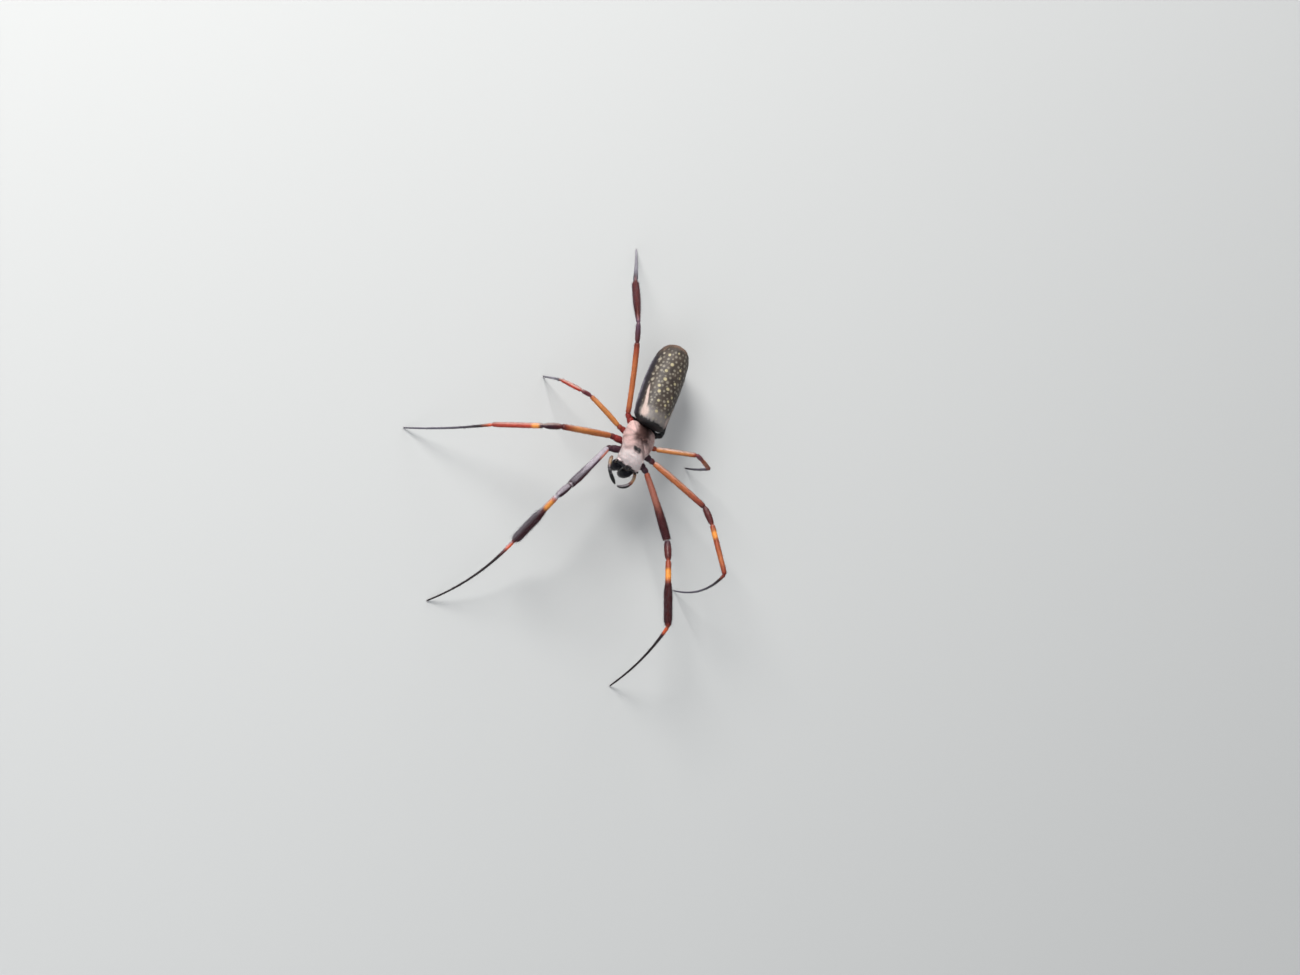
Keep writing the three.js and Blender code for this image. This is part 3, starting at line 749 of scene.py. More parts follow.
def small_spots(share, angle, spacing, size, seed):
    """Many small round spots in staggered rows over the skin, each a little off its place."""
    across = np.radians(angle) * AROUND_RADIUS / spacing
    along = share * ABDOMEN_LENGTH / spacing
    flat = np.stack([along, across], -1)
    mask = np.zeros_like(share)
    for row_shift, shift in np.ndindex(3, 3):
        row = np.floor(along).astype(np.int64) + row_shift - 1
        stagger = 0.5 * (row % 2)
        column = np.floor(across - stagger).astype(np.int64) + shift - 1
        key = np.stack([row, column, 0 * row], -1)
        jitter = 0.2 * np.stack([random_cells(key, seed), random_cells(key, seed + 1)], -1)
        place = np.stack([row + 0.5, column + 0.5 + stagger], -1) + jitter
        radius = size / spacing * (0.85 + 0.25 * random_cells(key, seed + 2))
        mask = np.maximum(mask, fade(np.linalg.norm(flat - place, axis=-1), radius * 0.6, radius * 1.15))
    return mask


def paint_back(skin, share, off, angle, fine, mottle):
    """Dark olive with pale hair at the front and pale spots, large and small."""
    skin.fill("olive")
    skin.layer("olive_dark", smooth_step(mottle, -0.6, 0.9))
    back = fade(off + 4 * mottle, 62, 76)
    front = fade(share + 0.02 * fine, 0.1, 0.24)
    skin.layer("hair_grey", (0.6 + 0.2 * smooth_step(off, 10, 40)) * front * back, 0.8)
    dots = small_spots(share, angle, **DOTS) * clear_of(share, angle, BIG_SPOTS + SMALL_SPOTS, 0.22)
    dots = np.maximum(dots, spot_mask(share, angle, SMALL_SPOTS))
    dots = dots * (1 - 0.3 * front) * smooth_step(0.97 - share, 0, 0.12) * fade(off, 66, 78)
    skin.layer("cream", (0.72 + 0.25 * lumps(skin.points, size=1.1, seed=43)) * dots, 0.7)
    skin.layer("yellow_spot", 0.95 * spot_mask(share, angle, BIG_SPOTS))
    skin.layer("cream", 0.75 * spot_mask(share, angle, EDGE_SPOTS, True))


def paint_flanks(skin, share, off, angle, fine, mottle):
    """Dark flanks with a pale edge of hair lightened as painted rim light, and the pale stripe and patch of
    each shoulder.
    """
    flank = smooth_step(off + 3 * fine, 66, 73) * fade(off, 112, 126) * smooth_step(0.86 - share, 0, 0.12)
    skin.layer("plum_black", 0.95 * flank)
    # Pale hair along the flank's edge, painted lighter as rim light
    hair_rim_light = bell(off + 4 * mottle, 95, 6) * smooth_step(0.85 - share, 0, 0.2)
    skin.layer("rim_lilac", 0.85 * hair_rim_light, 0.85)
    middle = 53 + 9 * smooth_step(share, 0.18, 0.44)
    width = np.interp(share, [0.08, 0.18, 0.28, 0.38, 0.44], [10, 8, 6.5, 4.5, 1])
    stripe = smooth_step(-np.abs(off - middle), -width, -0.5 * width)
    stripe = stripe * fade(share, 0.41, 0.46) * smooth_step(share, 0.08, 0.14)
    shoulder = fade(np.hypot((share - 0.115) * 15, (off - 48) / 15) + 0.12 * mottle, 0.55, 1.25)
    pale = np.maximum(shoulder, stripe) * np.where(angle > 0, 1, LEFT_SHOULDER)
    skin.layer("shoulder", np.clip(pale * (1 + 0.12 * fine), 0, 1))


def paint_abdomen(skin, share, angle):
    """The markings of the back, flanks and belly, with a brown tail and a black collar at the waist."""
    off = np.abs(angle)
    mottle = lumps(skin.points, size=0.8, seed=41)
    fine = lumps(skin.points, size=0.25, seed=42)
    paint_back(skin, share, off, angle, fine, mottle)
    paint_flanks(skin, share, off, angle, fine, mottle)
    tail = smooth_step(share + 0.015 * fine, 0.9, 0.97) + 0.5 * smooth_step(share, 0.82, 0.92) * (off > 62)
    skin.layer("tail_brown", 0.8 * np.clip(tail, 0, 1))
    collar = fade(share + 0.01 * fine - 0.03 * smooth_step(off, 40, 80), 0.04, 0.058)
    skin.layer("black", 0.98 * collar, 0.7)
    above = skin.paint
    paint_belly(skin, share, angle, fine)
    skin.paint = mixed(above, skin.paint, smooth_step(off, 126, 140))


def paint_belly(skin, share, angle, fine):
    """Underside: pale flecks behind the furrow, orange lung covers and a dark plate between them."""
    off = 180 - np.abs(angle)
    skin.fill("olive_dark", 0.9)
    skin.layer("tail_brown", 0.3 + 0.3 * fine, 0.6)
    flecks = small_spots(share, angle, 1.1, 0.24, 61) * (share > 0.3) * (share < 0.75)
    skin.layer("yellow_spot", 0.6 * flecks)
    lung = fade(np.hypot((share - LUNGS_AT) * 13, (off - 26) / 14), 0.7, 1.1)
    skin.layer("sternum", 0.85 * lung, 0.6)
    plate = fade(np.hypot((share - EPIGYNE_AT) * 22, off / 13), 0.6, 1.0)
    skin.layer("black", 0.9 * plate)


def abdomen_relief(points, share, angle):
    """Soft creases, dimples and spots, and on the belly the furrow, lung covers and epigyne."""
    off = 180 - np.abs(angle)
    height = 0.03 * lumps(points, size=1.6, seed=71) + 0.008 * lumps(points, size=0.3, seed=72)
    height -= 0.1 * bell(share, 0.29, 0.008) * bell(off, 0, 42)
    height += 0.09 * bell(np.hypot((share - LUNGS_AT) * 13, (off - 26) / 14), 0, 0.7)
    height += 0.12 * bell(np.hypot((share - EPIGYNE_AT) * 24, off / 11), 0, 0.8)
    height -= 0.1 * bell(np.hypot((share - EPIGYNE_AT) * 60, (off - 5) / 3), 0, 0.8)
    for middle, side_angle in ((0.3, 22), (0.46, 24), (0.62, 22)):
        height -= 0.07 * bell(from_spot(share, np.abs(angle), middle, side_angle), 0, 0.2)
    return height + 0.02 * small_spots(share, angle, **DOTS)


def make_abdomen():
    skin, share, angle = abdomen_surface()
    skin.push(abdomen_relief(skin.points, share, angle))
    paint_abdomen(skin, share, angle)
    skin.place(from_abdomen)
    skin_mesh("abdomen_skin", [skin], "abdomen_skin", ["abdomen"])
    abdomen_coat(skin, share, np.abs(angle))


def abdomen_coat(skin, share, off):
    """Fine hair that lies towards the tail, thicker at the front, the edges and the tail."""
    thick = 0.5 + 1.6 * fade(share, 0.1, 0.25) + 1.5 * bell(off, 95, 16)
    thick = thick + 1.8 * smooth_step(share, 0.84, 0.95)
    thick = thick * (0.25 + 0.75 * smooth_step(share, 0.03, 0.06))
    below = off >= BELLY_HAIR_FROM
    for name, part, seed in (("abdomen_coat_back", ~below, 81), ("abdomen_coat_belly", below, 82)):
        weight = thick * part + LEAST_WEIGHT
        fine = Roots(skin, count=44000, weight=weight, seed=seed)
        # Hairs near the flank's edge take the lilac of the painted rim light
        near_rim_light = 0.6 * bell(fine.read(off), 96, 8)
        tint = mixed(fine.paint + 0.003, colour("rim_lilac") * 0.85, near_rim_light) * fine.varied(0.7, 1.35)
        tall = Roots(skin, count=1600, weight=weight, seed=seed + 10)
        coat(name, [
            hairs(fine, tint, length=0.23, width=0.024, lift=12, sweep=0.22, straight=True),
            hairs(tall, tall.paint + 0.02, length=0.42, width=0.022, lift=26, bend=0.6, sweep=0.3),
        ])


def make_waist():
    share = spread_rows(40)
    path = bezier([(0, 2.6, 0.0), (0.15, 3.6, 0.2), (0.4, 4.9, 0.5)], share)
    radii = 0.42 + 0.03 * np.cos(share * 40) + 0.1 * share
    waist = tube_surface(path, radii, 32, (0, 0, 1))
    waist.fill("maroon", 0.5)
    waist.place(from_body)
    skin_mesh("pedicel_skin", [waist], "leg_shell", ["pedicel"])


# Spinnerets: sideways, backwards, length, radius and how far each leans back, in degrees
SPINNERETS = [(0.36, -0.38, 1.0, 0.3, -14), (0.32, 0.42, 0.95, 0.27, 20), (0.13, 0.05, 0.6, 0.14, 4)]


def make_spinnerets():
    """A low collar with three pairs of short pegs, darker towards their tips."""
    place = SPINNERETS_AT * ABDOMEN_LENGTH
    pegs = [spinneret(np.array([0, place, -1.9]), 1.55, 0.66, 0, 0.75)]
    for x, y, length, radius, lean in SPINNERETS:
        for side in (-1, 1):
            pegs.append(spinneret(np.array([side * x, place + y, -3.2]), length, radius, lean, 0.6))
    skin_mesh("spinnerets_skin", pegs, "leg_shell", ["spinnerets"])
    groups = []
    for at, peg in enumerate(pegs):
        roots = Roots(peg, count=260, weight=np.ones(len(peg.points)), seed=300 + at)
        groups.append(hairs(roots, colour("dark") * 1.5, length=0.24, width=0.025, lift=28, bend=0.4))
    coat("spinnerets_coat", groups)


def spinneret(start, length, radius, lean, tip_share):
    share = spread_rows(30)
    down = np.array([0, math.sin(math.radians(lean)), -math.cos(math.radians(lean))])
    radii = radius * np.interp(share, [0, 0.3, 0.62, 0.66, 0.9, 0.98, 1],
                               [1, 1.02, 0.9, 0.8, tip_share, 0.4, 0.1])
    peg = tube_surface(start + share[:, None] * down * length, radii, 26, (0, 1, 0))
    peg.fill("rust", 0.8)
    peg.layer("dark", share)
    return peg.place(from_abdomen)


# Jaws, fangs, feelers and eyes

CHELICERA_PATHS = {
    "right": np.array([[-1.2, -4.9, 0.75], [-1.1, -5.55, -0.9], [-1.03, -5.45, -3.2]]),
    "left": np.array([[1.2, -4.9, 0.75], [1.35, -6.0, -0.9], [1.12, -5.65, -3.2]]),
}
CHELICERA_RADII = [
    [0, 0.35], [0.06, 0.72], [0.18, 0.95], [0.4, 1.05], [0.65, 0.99], [0.84, 0.82], [0.95, 0.62], [1, 0.3],
]
FANG_PATHS = {
    "right": np.array([[-1.05, -5.25, -3.25], [-0.8, -4.5, -4.35], [-0.25, -3.9, -3.68]]),
    "left": np.array([[1.14, -5.45, -3.25], [0.89, -4.7, -4.35], [0.34, -4.1, -3.68]]),
}
FANG_RADII = [[0, 0.3], [0.2, 0.29], [0.5, 0.2], [0.8, 0.11], [0.97, 0.04], [1, 0.015]]
PALP_PATHS = {
    "right": np.array([[-2.55, -4.4, -1.1], [-3.3, -7.0, 0.35], [-2.2, -7.65, 0], [0.18, -8.62, -1.1]]),
    "left": np.array([[2.55, -4.4, -1.1], [3.1, -5.6, 0.4], [3.6, -8.05, -0.75], [1.07, -8.68, -1.3]]),
}
PALP_RADII = [
    [0, 0.24], [0.1, 0.28], [0.24, 0.27], [0.27, 0.2], [0.3, 0.26], [0.44, 0.26], [0.47, 0.2], [0.5, 0.26],
    [0.6, 0.27], [0.63, 0.21], [0.66, 0.27], [0.8, 0.3], [0.93, 0.24], [0.985, 0.13], [1, 0.05],
]


def limb_of(path, radii_table, rows, sides, upwards=(0, 0, 1), blur=0.02):
    share = spread_rows(rows)
    table = np.array(radii_table)
    radii = smoothed(table[:, 0], table[:, 1], share, blur)
    return tube_surface(bezier(path, share), radii, sides, upwards), share


def make_jaws():
    for word, path in CHELICERA_PATHS.items():
        jaw, share = limb_of(path, CHELICERA_RADII, 90, 72, (0, -1, 0.3), 0.05)
        jaw.push(0.015 * lumps(jaw.points, size=0.5, seed=91))
        jaw.fill("blue_black")
        jaw.layer("maroon", smooth_step(share, 0.86, 1), 0.5)
        jaw.place(from_body)
        skin_mesh(f"chelicera_{word}_shell", [jaw], "jaw_shell", [f"chelicera_{word}"])
        roots = Roots(jaw, count=320, weight=0.15 + smooth_step(share, 0.5, 0.95), seed=93)
        bristles = hairs(roots, colour("dark") * 0.8, length=0.42, width=0.024, lift=30)
        coat(f"chelicera_{word}_coat", [bristles])
        fang, share = limb_of(FANG_PATHS[word], FANG_RADII, 50, 32, (0, -1, 0))
        fang.fill("black")
        fang.layer("red_maroon", share, 0.5)
        fang.place(from_body)
        skin_mesh(f"fang_{word}_claw", [fang], "claw_shell", [f"fang_{word}"])


# Colours along the feelers: each colour's name, and the hundredths of the length where it is full
PALP_STOPS = {
    "right": "amber 0, bone 12 24, maroon 34, blue_black 42, black 100",
    "left": "rust 0, amber 20, bone 40, amber 52, rust 60, maroon 66, blue_black 72, black 100",
}

# The side of the limbs that gets a painted sheen, the sky's reflection, as a direction in the frame
SHEEN_SIDE = unit(np.array([-0.55, 0.6, 0.55]))


def sheen_facing(surface, low, high):
    """How far each point of a limb faces the side with the painted sheen."""
    return smooth_step(surface.facing(SHEEN_SIDE), low, high)


def paint_stops(at, stops):
    """The colour at each place along a line, from the text of its stops."""
    keys, values = [], []
    for stop in stops.split(", "):
        name, *places = stop.split()
        keys += [float(place) / 100 for place in places]
        values += [colour(name)] * len(places)
    return np.stack([smoothed(keys, channel, at, 0.012) for channel in np.array(values).T], -1)


def make_palps():
    for word, path in PALP_PATHS.items():
        feeler, share = limb_of(path, PALP_RADII, 130, 30, (0, 0, 1), 0.008)
        feeler.place(from_body)
        feeler.band(share, PALP_STOPS[word])
        past_knee = 0.3 + 0.45 * smooth_step(share, 0.6, 0.7)
        # A painted glint: a whitish highlight along the side that faces the sky, stronger past the knee
        feeler.layer("white_slate", sheen_facing(feeler, 0.3, 0.75) * past_knee[:, None])
        skin_mesh(f"palp_{word}_skin", [feeler], "leg_shell", [f"palp_{word}"])
        roots = Roots(feeler, count=2600, weight=0.4 + smooth_step(share, 0.4, 1), seed=101)
        fur = hairs(roots, roots.paint * 0.6 + 0.03, length=0.3, width=0.028, lift=26, bend=0.4)
        coat(f"palp_{word}_coat", [fur])


def make_eyes():
    for name in EYE_NAMES:
        share = np.linspace(0.02, np.pi - 0.02, 24)
        centre = eye_centre(name)
        outward = unit(centre * np.array([0.35, 1, 0.1]))
        path = centre + outward * (-np.cos(share) * EYE_RADIUS)[:, None]
        ball = tube_surface(path, np.sin(share) * EYE_RADIUS, 32, (0, 0, 1))
        ball.fill("black", 0.6)
        ball.layer("bone", smooth_step(share, 1.9, 3.0), 0.12)
        ball.place(from_body)
        skin_mesh(f"{name}_ball", [ball], "eye_glass", [name])


# Legs

SEGMENT_LENGTHS = [
    [13.5, 3.6, 12.9, 20.2],
    [12.8, 3.3, 9.9, 17.6],
    [8.0, 2.3, 4.8, 8.7],
    [14.0, 3.4, 8.8, 15.4],
]
FEMUR_STARTS = [[4.5, -3.8], [5.0, -1.5], [4.3, 0.9], [3.63, 3.84]]
COXA_STARTS = [[1.3, -2.5], [1.3, -0.95], [1.3, 0.65], [1.2, 2.1]]
COXA_DROP = 0.15
FOOT_BELOW_FLOOR = 0.15
KNEE_ARCH = 0.35

# For each leg: the headings of its four long parts, in degrees from straight ahead to the spider's left,
# the rises of the first three, and how far the last one bows, in millimetres
LEGS = {
    "leg1_right": {"headings": [-25, -27, -6, -24], "rises": [25, 17, -41], "bow": [1.0, -0.6, 0.2]},
    "leg1_left": {"headings": [43, 22, 23, 1], "rises": [8, 22, 11], "bow": [0.7, -0.2, 0.2]},
    "leg2_right": {"headings": [-68, -63, -65, -61], "rises": [23, 4, -36], "bow": [0.2, -0.3, 0.2]},
    "leg2_left": {"headings": [75, 46, 37, -27], "rises": [15, 17, 15], "bow": [1.1, -1.1, 0.1]},
    "leg3_right": {"headings": [-107, -83, -99, -128], "rises": [0, 26, -43], "bow": [-0.2, 0, 0.1]},
    "leg3_left": {"headings": [108, 91, 92, -82], "rises": [27, -39, -49.7], "bow": [0.2, -0.1, 0]},
    "leg4_right": {"headings": [-153.1, -148, -157, 172], "rises": [18, 20, -22], "bow": [0, 0, 0.3]},
    "leg4_left": {"headings": [-179, 180, -20, 14], "rises": [-21.5, -50, -3], "bow": [0, 0, 0.35],
                  "arch": -0.5, "wider": 0.75},
}
for leg_name, leg in LEGS.items():
    leg["pair"] = int(leg_name[3]) - 1
    leg["side"] = -1 if leg_name.endswith("right") else 1

# Thickness of the bare legs of pairs I to IV: shares of each segment's length, and the radii there
SHELL_SHARES = {
    "coxa": [[0, 0.3, 0.55, 0.72, 0.78, 0.84, 0.93, 1]] * 3 + [[0, 0.3, 0.55, 0.7, 0.76, 0.82, 0.92, 1]],
    "femur": [[0, 0.03, 0.1, 0.3, 0.6, 0.85, 0.96, 1]] * 2 + [[0, 0.04, 0.12, 0.35, 0.7, 0.93, 1]]
             + [[0, 0.03, 0.1, 0.5, 0.8, 0.96, 1]],
    "patella": [[0, 0.15, 0.45, 0.8, 1]] * 2 + [[0, 0.2, 0.5, 0.8, 1]] + [[0, 0.15, 0.45, 0.8, 1]],
    "tibia": [[0, 0.05, 0.12, 0.5, 0.9, 0.97, 1]] * 2 + [[0, 0.08, 0.2, 0.6, 0.93, 1]]
             + [[0, 0.06, 0.3, 0.6, 0.9, 0.97, 1]],
    "metatarsus": [[0, 0.03, 0.08, 0.25, 0.5, 0.72, 0.735, 0.75, 0.9, 0.985, 1]] * 2
                  + [[0, 0.05, 0.12, 0.4, 0.68, 0.7, 0.72, 0.9, 0.98, 1]]
                  + [[0, 0.05, 0.12, 0.3, 0.5, 0.72, 0.735, 0.75, 0.9, 0.985, 1]],
}
SHELL_RADII = {
    "coxa": [[0.5, 0.66, 0.7, 0.62, 0.5, 0.56, 0.57, 0.5], [0.5, 0.64, 0.68, 0.6, 0.48, 0.54, 0.55, 0.46],
             [0.45, 0.56, 0.6, 0.54, 0.42, 0.47, 0.48, 0.4],
             [0.5, 0.64, 0.67, 0.58, 0.46, 0.52, 0.53, 0.45]],
    "femur": [[0.44, 0.5, 0.55, 0.61, 0.64, 0.62, 0.58, 0.5],
              [0.43, 0.5, 0.54, 0.59, 0.57, 0.54, 0.5, 0.43], [0.36, 0.43, 0.46, 0.48, 0.45, 0.42, 0.36],
              [0.4, 0.46, 0.48, 0.49, 0.51, 0.49, 0.42]],
    "patella": [[0.46, 0.62, 0.69, 0.63, 0.46], [0.4, 0.54, 0.6, 0.54, 0.39],
                [0.32, 0.39, 0.41, 0.37, 0.3], [0.39, 0.46, 0.49, 0.45, 0.36]],
    "tibia": [[0.42, 0.5, 0.53, 0.52, 0.49, 0.45, 0.38], [0.38, 0.45, 0.49, 0.48, 0.46, 0.42, 0.34],
              [0.3, 0.37, 0.385, 0.38, 0.35, 0.28], [0.34, 0.4, 0.43, 0.44, 0.41, 0.38, 0.31]],
    "metatarsus": [[0.3, 0.34, 0.31, 0.24, 0.2, 0.19, 0.155, 0.18, 0.165, 0.13, 0.06],
                   [0.28, 0.31, 0.28, 0.22, 0.19, 0.18, 0.145, 0.17, 0.155, 0.12, 0.06],
                   [0.22, 0.25, 0.24, 0.2, 0.18, 0.145, 0.17, 0.155, 0.12, 0.06],
                   [0.3, 0.4, 0.38, 0.32, 0.27, 0.21, 0.165, 0.19, 0.165, 0.12, 0.06]],
}
SEGMENTS = ["coxa", "femur", "patella", "tibia", "metatarsus"]
NECK = 0.8
NECK_LENGTH = 0.22
COXA_LENGTH = 4.0
CORNER = 0.5
HAIRS_PER_MM = 150
BRISTLES_PER_MM = 9
HAIRS_PER_FRINGE = 9
POINT_SPACING = 0.085
LEG_SIDES = 26
SHELL_ABOVE_FLOOR = 0.004
CLAW_ABOVE_FLOOR = 0.003
FOOT_HEIGHT = 0.09

# Colours along each leg, written in the same way, with a hundred for each segment
# The thin whitish rings at the knees of the first pair are painted glints
LEG_STOPS = {
    "leg1_right": (
        "plum 0 100, plum_grey 103 175, plum 197, white_slate 200, plum 206 290, lilac 300, "
        "rose 307, honey 312 324, maroon 330 390, red_maroon 396 400, ember 402 408, maroon 412, "
        "dark 420 500"
    ),
    "leg1_left": (
        "plum 0 100, rust 103, tan_brown 115 150, maroon 170 197, orange 199, white_slate 201, "
        "plum 206, maroon 250 290, rust 304 313, honey 317 327, rust 333, maroon 338 390, "
        "red_maroon 396, rust 400, ember 402 407, plum 411, dark 420 500"
    ),
    "leg2_right": (
        "plum 0, red_maroon 75, maroon 100, orange 105, amber 170, rust 190, maroon 198 210, "
        "plum 270 307, honey 312 321, rust_red 327 360 393 400, ember 403, rust 407, dark 414, "
        "slate 450 500"
    ),
    "leg2_left": (
        "plum 0 75, maroon 100, orange 105 150, rust 185, maroon 198 210 290, rust 306, "
        "orange 314, honey 318 326, rust 333, orange 370, rust 393, red_maroon 400, rust 404, "
        "dark 412, slate 450 500"
    ),
    "leg3_right": (
        "maroon 0, red_maroon 75, rust 100, amber 106 180, orange 195, mauve 205 290, "
        "rust_red 310 390, rust 400, slate 410, pale_slate 440, slate 500"
    ),
    "leg3_left": (
        "maroon 0, rust 75 100, amber 106 175, rust 193, mauve 205 240, rust 290, orange 315, "
        "rust 385, maroon 400, slate 415 450, dark 500"
    ),
    "leg4_right": (
        "maroon 0, red_maroon 50 100, rust 106, orange 112 170, rust 188, maroon 200, "
        "plum_grey 290 305, maroon 320 330, plum 390 399, slate 402 410, pale_slate 430 500"
    ),
    "leg4_left": (
        "dark 0, black 70 100, dark 108, maroon 120, orange 130 180, maroon 190 290, "
        "rust 305 325, maroon 335, plum 390, maroon 400, pale_slate 408 500"
    ),
}

# Brushes of long dark hair: where each starts, is fullest and ends along the leg, length and count
BRUSHES = {
    "leg1_right": [(1.4, 1.75, 2.0, 0.46, 3000), (3.26, 3.5, 4.0, 0.84, 9600)],
    "leg1_left": [(1.35, 1.75, 2.0, 0.54, 3400), (3.3, 3.5, 4.0, 0.66, 9000)],
    "leg4_right": [(3.04, 3.55, 3.99, 0.68, 6200)],
    "leg4_left": [(3.04, 3.55, 3.99, 0.68, 6200)],
}
PALE_BRUSH = (4.01, 4.1, 4.8, 0.3, 1900)

# The painted sheen, the sky's reflection, on the side of some legs: its colour, how narrow it is, from -1 to
# 1, and its strength on the femur, past it and in the brushes
LEG_SHEENS = {
    "leg1_right": ("lilac", 0.36, 1.0, 0.65, 0.95),
    "leg1_left": ("rose", 0.6, 0.4, 0.0, 0.15),
    "leg2_right": ("shoulder", 0.6, 0.4, 0.5, 0.0),
    "leg2_left": ("shoulder", 0.7, 0.7, 0.15, 0.0),
    "leg3_right": ("shoulder", 0.55, 0.25, 0.6, 0.0),
    "leg3_left": ("shoulder", 0.62, 0.8, 0.3, 0.0),
    "leg4_right": ("rose", 0.6, 0.3, 0.2, 0.2),
}
# The painted sheen of the other legs
OTHER_LEG_SHEEN = ("shoulder", 0.75, 0.15, 0.05, 0.0)
ORANGE_SIDE = unit(np.array([0.85, -0.4, 0.25]))


def leg_joints(leg):
    """Where the joints of a leg are, from its coxa's start to its foot, as in the frame."""
    x, y = FEMUR_STARTS[leg["pair"]]
    x = leg["side"] * (x + leg.get("wider", 0))
    coxa_x, coxa_y = COXA_STARTS[leg["pair"]]
    joints = [from_body(np.array([leg["side"] * coxa_x, coxa_y, -COXA_DROP])), from_body(np.array([x, y, 0]))]
    for at, length in enumerate(SEGMENT_LENGTHS[leg["pair"]]):
        from_floor = joints[-1][2] + FOOT_BELOW_FLOOR
        rise = math.radians(leg["rises"][at]) if at < 3 else -math.asin(from_floor / length)
        heading = math.radians(leg["headings"][at])
        step = unit(np.array([math.sin(heading), -math.cos(heading), math.tan(rise)]))
        joints.append(joints[-1] + step * length)
    return joints


def leg_line(leg):
    """Points along a leg, rounded at the joints, and the place of each: joint number and share."""
    joints = leg_joints(leg)
    arch = leg.get("arch", KNEE_ARCH)
    bends = [np.zeros(3), np.array([0, 0, arch]), np.zeros(3), np.zeros(3), np.array(leg["bow"])]
    points, places = [], []
    for at, bend in enumerate(bends):
        start, end = joints[at], joints[at + 1]
        length = np.linalg.norm(end - start)
        control = (start + end) / 2 + 2 * bend
        cut_start = CORNER / length if at > 0 else 0
        cut_end = CORNER / length if at < 4 else 0
        share = np.linspace(cut_start, 1 - cut_end, max(12, int(length / POINT_SPACING)))
        stretch = bezier([start, control, end], share)
        if at > 0:
            turn_share = np.linspace(0, 1, 14)[1:-1]
            points.append(bezier([points[-1][-1], start, stretch[0]], turn_share))
            places.append(np.interp(turn_share, [0, 1], [places[-1][-1], at + share[0]]))
        points.append(stretch)
        places.append(at + share)
    return np.concatenate(points), np.concatenate(places)


def leg_radii(pair, places):
    """Bare thickness along a leg, with a narrow soft neck at each joint."""
    keys, values = [], []
    lengths = [COXA_LENGTH, *SEGMENT_LENGTHS[pair]]
    for at, word in enumerate(SEGMENTS):
        keys += [at + share for share in SHELL_SHARES[word][pair]]
        values += SHELL_RADII[word][pair]
    keys = np.array(keys) + 1e-6 * np.arange(len(keys))
    radii = smoothed(keys, values, places, 0.004)
    for joint in range(1, 5):
        millimetres = (places - joint) * np.where(places < joint, lengths[joint - 1], lengths[joint])
        radii = radii * (1 - (1 - NECK) * bell(millimetres, 0, NECK_LENGTH))
    return radii


def leg_surface(leg):
    """The bare leg down to its foot on the floor, and the place of each ring."""
    line, places = leg_line(leg)
    radii = leg_radii(leg["pair"], places)
    last = len(line) - np.argmax(line[::-1, 2] > FOOT_HEIGHT)
    line, places, radii = line[:last], places[:last], radii[:last]
    radii = radii * smooth_step(np.arange(last)[::-1], -1.5, 3) ** 0.5
    return tube_surface(line, radii, LEG_SIDES, (0, 0, 1)), places


def paint_leg(name, shell, places):
    """Bands along the leg, a painted sheen on the side that faces the sky, and the salmon inner side at the
    base of one.
    """
    shell.band(places, LEG_STOPS[name])
    edge, low, on_femur, past_femur, _ = LEG_SHEENS.get(name, OTHER_LEG_SHEEN)
    if name == "leg1_right":
        base = between(places, 1.03, 1.08, 1.2, 1.34)
        shell.layer("salmon", base[:, None] * smooth_step(shell.facing(ORANGE_SIDE), 0.0, 0.4))
    femur = between(places, 0.98, 1.05, 1.86, 1.97)
    further = between(places, 2.05, 2.2, 4.0, 4.2)
    strength = on_femur * femur + past_femur * further
    shell.layer(edge, strength[:, None] * sheen_facing(shell, low, min(0.98, low + 0.35)), 0.9)
    mottle = lumps(shell.points, size=0.35, seed=121)
    shell.paint = np.clip(shell.paint * (1 + 0.12 * mottle[..., None]), 0, 1)


def brush_weight(places, start, fullest, end):
    return between(places, start, fullest, 0.3 * fullest + 0.7 * end, end)


def make_leg(name):
    leg = LEGS[name]
    shell, places = leg_surface(leg)
    paint_leg(name, shell, places)
    shell.keep_above(SHELL_ABOVE_FLOOR)
    nodes = [f"{name}_{word}" for word in SEGMENTS]
    skin_mesh(f"{name}_skin", [shell], "leg_shell", nodes)
    seed = 400 + list(LEGS).index(name) * 10
    groups = leg_hairs(leg, shell, places, seed)
    for at, brush in enumerate(BRUSHES.get(name, [])):
        groups += dark_brush(name, shell, places, brush, seed + 2 + at)
    if leg["pair"] == 3:
        groups.append(pale_brush(shell, places, seed + 9))
    coat(f"{name}_coat", groups)
    make_claws(name, shell)


def leg_hairs(leg, shell, places, seed):
    """Short lying hair all over, and a few longer bristles."""
    total = sum(SEGMENT_LENGTHS[leg["pair"]])
    outer = smooth_step(places, 0.35, 0.6)
    short_weight = outer * np.interp(places, [0, 1, 3, 4, 5], [0.8, 1, 1, 1.2, 1.6])
    fine = Roots(shell, total * HAIRS_PER_MM, short_weight + LEAST_WEIGHT, seed)
    length = np.interp(fine.read(places), [0, 1, 4, 5], [0.34, 0.36, 0.3, 0.18])[:, None]
    tint = fine.paint * fine.varied(0.6, 1.25)
    tall = Roots(shell, total * BRISTLES_PER_MM, between(places, 1.1, 1.4, 4.6, 5) + LEAST_WEIGHT, seed + 1)
    return [hairs(fine, tint, length=length, width=0.034, lift=17, straight=True),
            hairs(tall, tall.paint * 0.45 + 0.01, length=0.6, width=0.03, lift=30, bend=0.4)]


